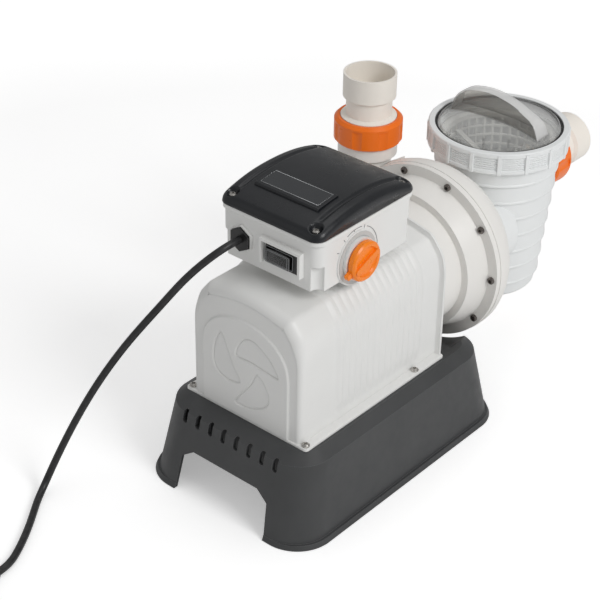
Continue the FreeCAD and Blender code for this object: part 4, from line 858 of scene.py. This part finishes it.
def make_clear_lid():
    """Clear lid: flange under the collar, rim, shallow dome and hollow arched grip."""
    outer = [(r * MM, dome_height(r * MM)) for r in steps(0.4, 63.2, 1.6)]
    inner = [(r, z - 2.6 * MM) for r, z in reversed(outer[:-3])]
    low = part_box("clear_lid")[0].z
    flange = [(LID_RADIUS, COLLAR_TOP - 4.5 * MM), (66 * MM, COLLAR_TOP - 4.5 * MM),
              (66 * MM, low), (59 * MM, low), (58.4 * MM, COLLAR_TOP - 4 * MM)]
    points, faces = turned(outer + flange + inner, (POT.x, POT.y, 0), 120)
    shell = new_piece("lid_dome", points, faces, "lid", FINISH["clear_plastic"], 45)
    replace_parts(dress(shell), "clear_lid")
    grip = new_piece("lid_grip", *grip_mesh(), "lid", FINISH["grip_top_painted_sheen"], 60)
    # The grip's side walls, the faces that point along Y, take the darker copy as painted shade;
    # all other faces take the paler copy as painted sheen.
    grip.data.materials.append(FINISH["grip_wall_painted_shade"])
    for face in grip.data.polygons:
        face.material_index = int(abs(face.normal.y) > 0.75)
    dress(thicken(grip, 1.6 * MM))
    # A dark ring in the rubber finish round the lid's edge is painted shadow for the narrow gap
    # between the lid and the collar, not a real seal.
    outline = [(61.2, -2.6), (61, -1.2), (61.5, -0.7), (62.6, -0.6), (63.3, -1.2), (63.3, -2.6)]
    ring = turned([(r * MM, COLLAR_TOP + z * MM) for r, z in outline], (POT.x, POT.y, 0), 120)
    seal = new_piece("lid_edge_gap_shadow", *ring, "lid", FINISH["seal_rubber"])
    dress(seal)


def grip_top(x):
    """The grip's height in mm above the collar at a station in mm, through a few heights."""
    knots = [(-58, -12), (-54, 0), (-50, 15), (-42, 23.5), (-32, 28.5), (-12, 31.8), (4, 30.6),
             (19, 27), (34, 20.5), (42, 16.5), (47, 11.5), (52, 0), (55, -8)]
    index = max(k for k in range(1, len(knots) - 2) if knots[k][0] <= x)
    (x0, a), (x1, b), (x2, c), (x3, d) = knots[index - 1:index + 3]
    share = (x - x1) / (x2 - x1)
    rise, fall = (c - a) / (x2 - x0) * (x2 - x1), (d - b) / (x3 - x1) * (x2 - x1)
    cube, square = share ** 3, share ** 2
    return ((2 * cube - 3 * square + 1) * b + (cube - 2 * square + share) * rise
            + (3 * square - 2 * cube) * c + (cube - square) * fall)


def grip_mesh():
    """The grip's outer skin: a tall ridge with a flat, rounded top and steep ends."""
    stations, points, ring = steps(-53.8, 51.8, 1.2), [], 28
    for x in stations:
        base = dome_height(abs(x) * MM) - 1.2 * MM
        height = max(COLLAR_TOP + grip_top(x) * MM - base, 0.2 * MM)
        width = mix(10, 8.4, ease(min(x + 54, 52 - x) / 26)) * MM
        for step in range(ring + 1):
            angle = math.pi * step / ring
            across = -math.cos(angle)
            spread = math.copysign(abs(across) ** 0.36, across)
            points.append(Vector((POT.x + x * MM, POT.y + spread * width,
                                  base + height * math.sin(angle) ** 0.5)))
    return points, grid_faces(len(stations), ring + 1)


def lattice(rings, count, bar, depth):
    """Bars along and round a list of (radius, height) rings, as a mesh."""
    parts = []
    for (r1, z1), (r2, z2) in zip(rings, rings[1:]):
        for k in range(count):
            angle = 2 * math.pi * k / count
            out, side = Vector((math.cos(angle), math.sin(angle), 0)), Vector(
                (-math.sin(angle), math.cos(angle), 0))
            points = []
            for radius, height in ((r1, z1), (r2, z2)):
                for s, d in ((-1, 0), (1, 0), (1, 1), (-1, 1)):
                    points.append(out * (radius - d * depth) + side * s * bar / 2
                                  + Vector((0, 0, height)))
            faces = [(k2, (k2 + 1) % 4, 4 + (k2 + 1) % 4, 4 + k2) for k2 in range(4)]
            parts.append((points, faces + [(0, 1, 2, 3), (4, 5, 6, 7)]))
    for radius, height in rings:
        outline = [(radius + 0.1 * MM, height - bar / 2), (radius + 0.1 * MM, height + bar / 2),
                   (radius - depth - 0.1 * MM, height + bar / 2),
                   (radius - depth - 0.1 * MM, height - bar / 2)]
        parts.append(turned(outline, (0, 0, 0), count * 2))
    return merged(*parts)


def make_basket():
    """Open mesh basket: a lattice cup, a lattice floor and a stepped rim."""
    low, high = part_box("strainer_basket")
    bottom, rim = low.z + 1 * MM, high.z
    wall_top = rim - 5.4 * MM
    rings = [(mix(42.6, 52.6, s / 14) * MM, mix(bottom, wall_top, s / 14)) for s in range(15)]
    hoops = [radius * MM for radius in (42, 34.5, 27, 19.5, 12, 4.5)]
    cup = lattice(rings, 36, 2.3 * MM, 1.4 * MM)
    spokes = []
    for outer, inner in zip(hoops, hoops[1:]):
        for k in range(18):
            angle = 2 * math.pi * k / 18
            out, side = Vector((math.cos(angle), math.sin(angle), 0)), Vector(
                (-math.sin(angle), math.cos(angle), 0))
            points = [out * radius + side * s * 0.9 * MM + Vector((0, 0, bottom + lift * MM))
                      for radius in (outer, inner)
                      for s, lift in ((-1, 0), (1, 0), (1, 1.6), (-1, 1.6))]
            faces = [(j, (j + 1) % 4, 4 + (j + 1) % 4, 4 + j) for j in range(4)]
            spokes.append((points, faces + [(0, 1, 2, 3), (4, 5, 6, 7)]))
    for radius in hoops:
        spokes.append(turned([(radius - 0.9 * MM, bottom), (radius + 0.9 * MM, bottom),
                              (radius + 0.9 * MM, bottom + 1.6 * MM),
                              (radius - 0.9 * MM, bottom + 1.6 * MM)], (0, 0, 0), 48))
    brim = turned([(51 * MM, wall_top), (52.8 * MM, wall_top), (54.4 * MM, rim - 4 * MM),
                   (58.2 * MM, rim - 1.8 * MM), (58.2 * MM, rim - 0.4 * MM), (57.8 * MM, rim),
                   (53 * MM, rim), (51.6 * MM, rim - 0.8 * MM)], (0, 0, 0), 96)
    points, faces = merged(cup, *spokes, brim)
    points = [point + Vector((POT.x, POT.y, 0)) for point in points]
    basket = new_piece("basket_mesh", points, faces, "basket", FINISH["basket_plastic"], 40)
    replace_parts(dress(basket), "strainer_basket")


# ---------------------------------------------------------------- CAD nodes

def dress_cad_nodes():
    """Give every CAD node its finish and smooth shading between sharp edges."""
    for entry in frame["record"]["subparts"]:
        node = frame["nodes"][entry["node"]]
        for slot in node.material_slots:
            slot.material = FINISH[entry["material_slot"]]
        smooth_cad(node)
    for slot in frame["nodes"]["timer_knob"].material_slots:
        slot.material = FINISH["knob_plastic"]


def smooth_cad(node):
    """Join the faces' shared points and split them again only at sharp edges."""
    for face in node.data.polygons:
        face.use_smooth = True
    joined = node.modifiers.new("join_points", "WELD")
    joined.merge_threshold = 5e-6
    split = node.modifiers.new("sharp_edges", "EDGE_SPLIT")
    split.split_angle = math.radians(28)


# ---------------------------------------------------------------- stage

def make_floor():
    """A plain pale floor."""
    bpy.ops.mesh.primitive_circle_add(vertices=96, radius=7, fill_type="NGON",
                                      location=(0, 0, CAD_BOX[0][2] - 0.0005))
    floor = bpy.context.object
    floor.name = "floor"
    recipe = Recipe("floor")
    base = recipe.blend(recipe.span(recipe.cloud(3, 2), 0, 1), linear(248, 248, 248),
                        linear(251, 251, 251))
    spread = recipe.add("Mapping", Vector=recipe.places, Scale=(0.25, 0.25, 0.25))
    fade = recipe.add("TexGradient", Vector=spread.outputs[0])
    fade.gradient_type = "SPHERICAL"
    shine = recipe.span(fade.outputs["Fac"], 1.0, 0.36, 0.45, 0.8)
    seen = recipe.add("LightPath").outputs["Is Camera Ray"]
    glow = recipe.tree.nodes.new("ShaderNodeMath")
    glow.operation = "MULTIPLY"
    recipe.feed(glow.inputs[0], shine)
    recipe.feed(glow.inputs[1], seen)
    shader = recipe.add("BsdfPrincipled", Base_Color=base, Roughness=0.9,
                        Emission_Color=(1.0, 1.0, 1.0), Emission_Strength=glow.outputs[0])
    floor.data.materials.append(recipe.finish(shader.outputs[0]))


def make_world(lit, seen):
    """Even pale surroundings that light the pump less than they shine in the picture."""
    world = bpy.data.worlds.new("studio")
    world.use_nodes = True
    tree = world.node_tree
    tree.nodes.clear()
    output = tree.nodes.new("ShaderNodeOutputWorld")
    paths = tree.nodes.new("ShaderNodeLightPath")
    both = tree.nodes.new("ShaderNodeMixShader")
    for index, strength in ((1, lit), (2, seen)):
        sky = tree.nodes.new("ShaderNodeBackground")
        sky.inputs["Color"].default_value = (1, 1, 1, 1)
        sky.inputs["Strength"].default_value = strength
        tree.links.new(sky.outputs[0], both.inputs[index])
    tree.links.new(paths.outputs["Is Camera Ray"], both.inputs[0])
    tree.links.new(both.outputs[0], output.inputs["Surface"])
    bpy.context.scene.world = world


def make_light(name, place, target, size, power):
    """A square soft light that points at a target."""
    data = bpy.data.lights.new(name, "AREA")
    data.size = size
    data.energy = power
    light = bpy.data.objects.new(name, data)
    light.location = place
    light.rotation_euler = (Vector(target) - Vector(place)).to_track_quat("-Z", "Y").to_euler()
    bpy.context.scene.collection.objects.link(light)


def make_camera():
    """The camera, level with the room apart from a slight roll."""
    turn, tilt, roll = math.radians(40.45), math.radians(32.46), math.radians(0.98)
    back = Vector((math.sin(turn) * math.cos(tilt), -math.cos(turn) * math.cos(tilt),
                   math.sin(tilt)))
    right = Vector((math.cos(turn), math.sin(turn), 0))
    up = back.cross(right)
    rolled = right * math.cos(roll) + up * math.sin(roll)
    risen = up * math.cos(roll) - right * math.sin(roll)
    data = bpy.data.cameras.new("camera")
    data.lens = 100.04
    data.sensor_width = 36
    camera = bpy.data.objects.new("camera", data)
    camera.matrix_world = Matrix.Translation((0.81747, -1.00208, 0.97980)) @ Matrix(
        (rolled, risen, back)).transposed().to_4x4()
    bpy.context.scene.collection.objects.link(camera)
    bpy.context.scene.camera = camera


def make_stage():
    """Floor, lights, camera and an even tone curve."""
    make_floor()
    make_world(0.38, 1.0)
    target = (0, 0.05, 0.15)
    make_light("key", (2.1, -0.1, 1.9), target, 1.1, 31)
    make_light("top", (-0.3, 0.5, 2.4), target, 1.6, 7)
    make_light("fill", (-1.2, -2.2, 1.4), target, 1.8, 1.5)
    make_camera()
    bpy.context.scene.view_settings.view_transform = "Standard"


def make_pump():
    """Every piece of the pump's looks."""
    dress_cad_nodes()
    make_cover()
    make_control_lid()
    make_label()
    make_dial_marks()
    make_splash_cap()
    make_clear_lid()
    make_basket()


make_pump()
make_stage()
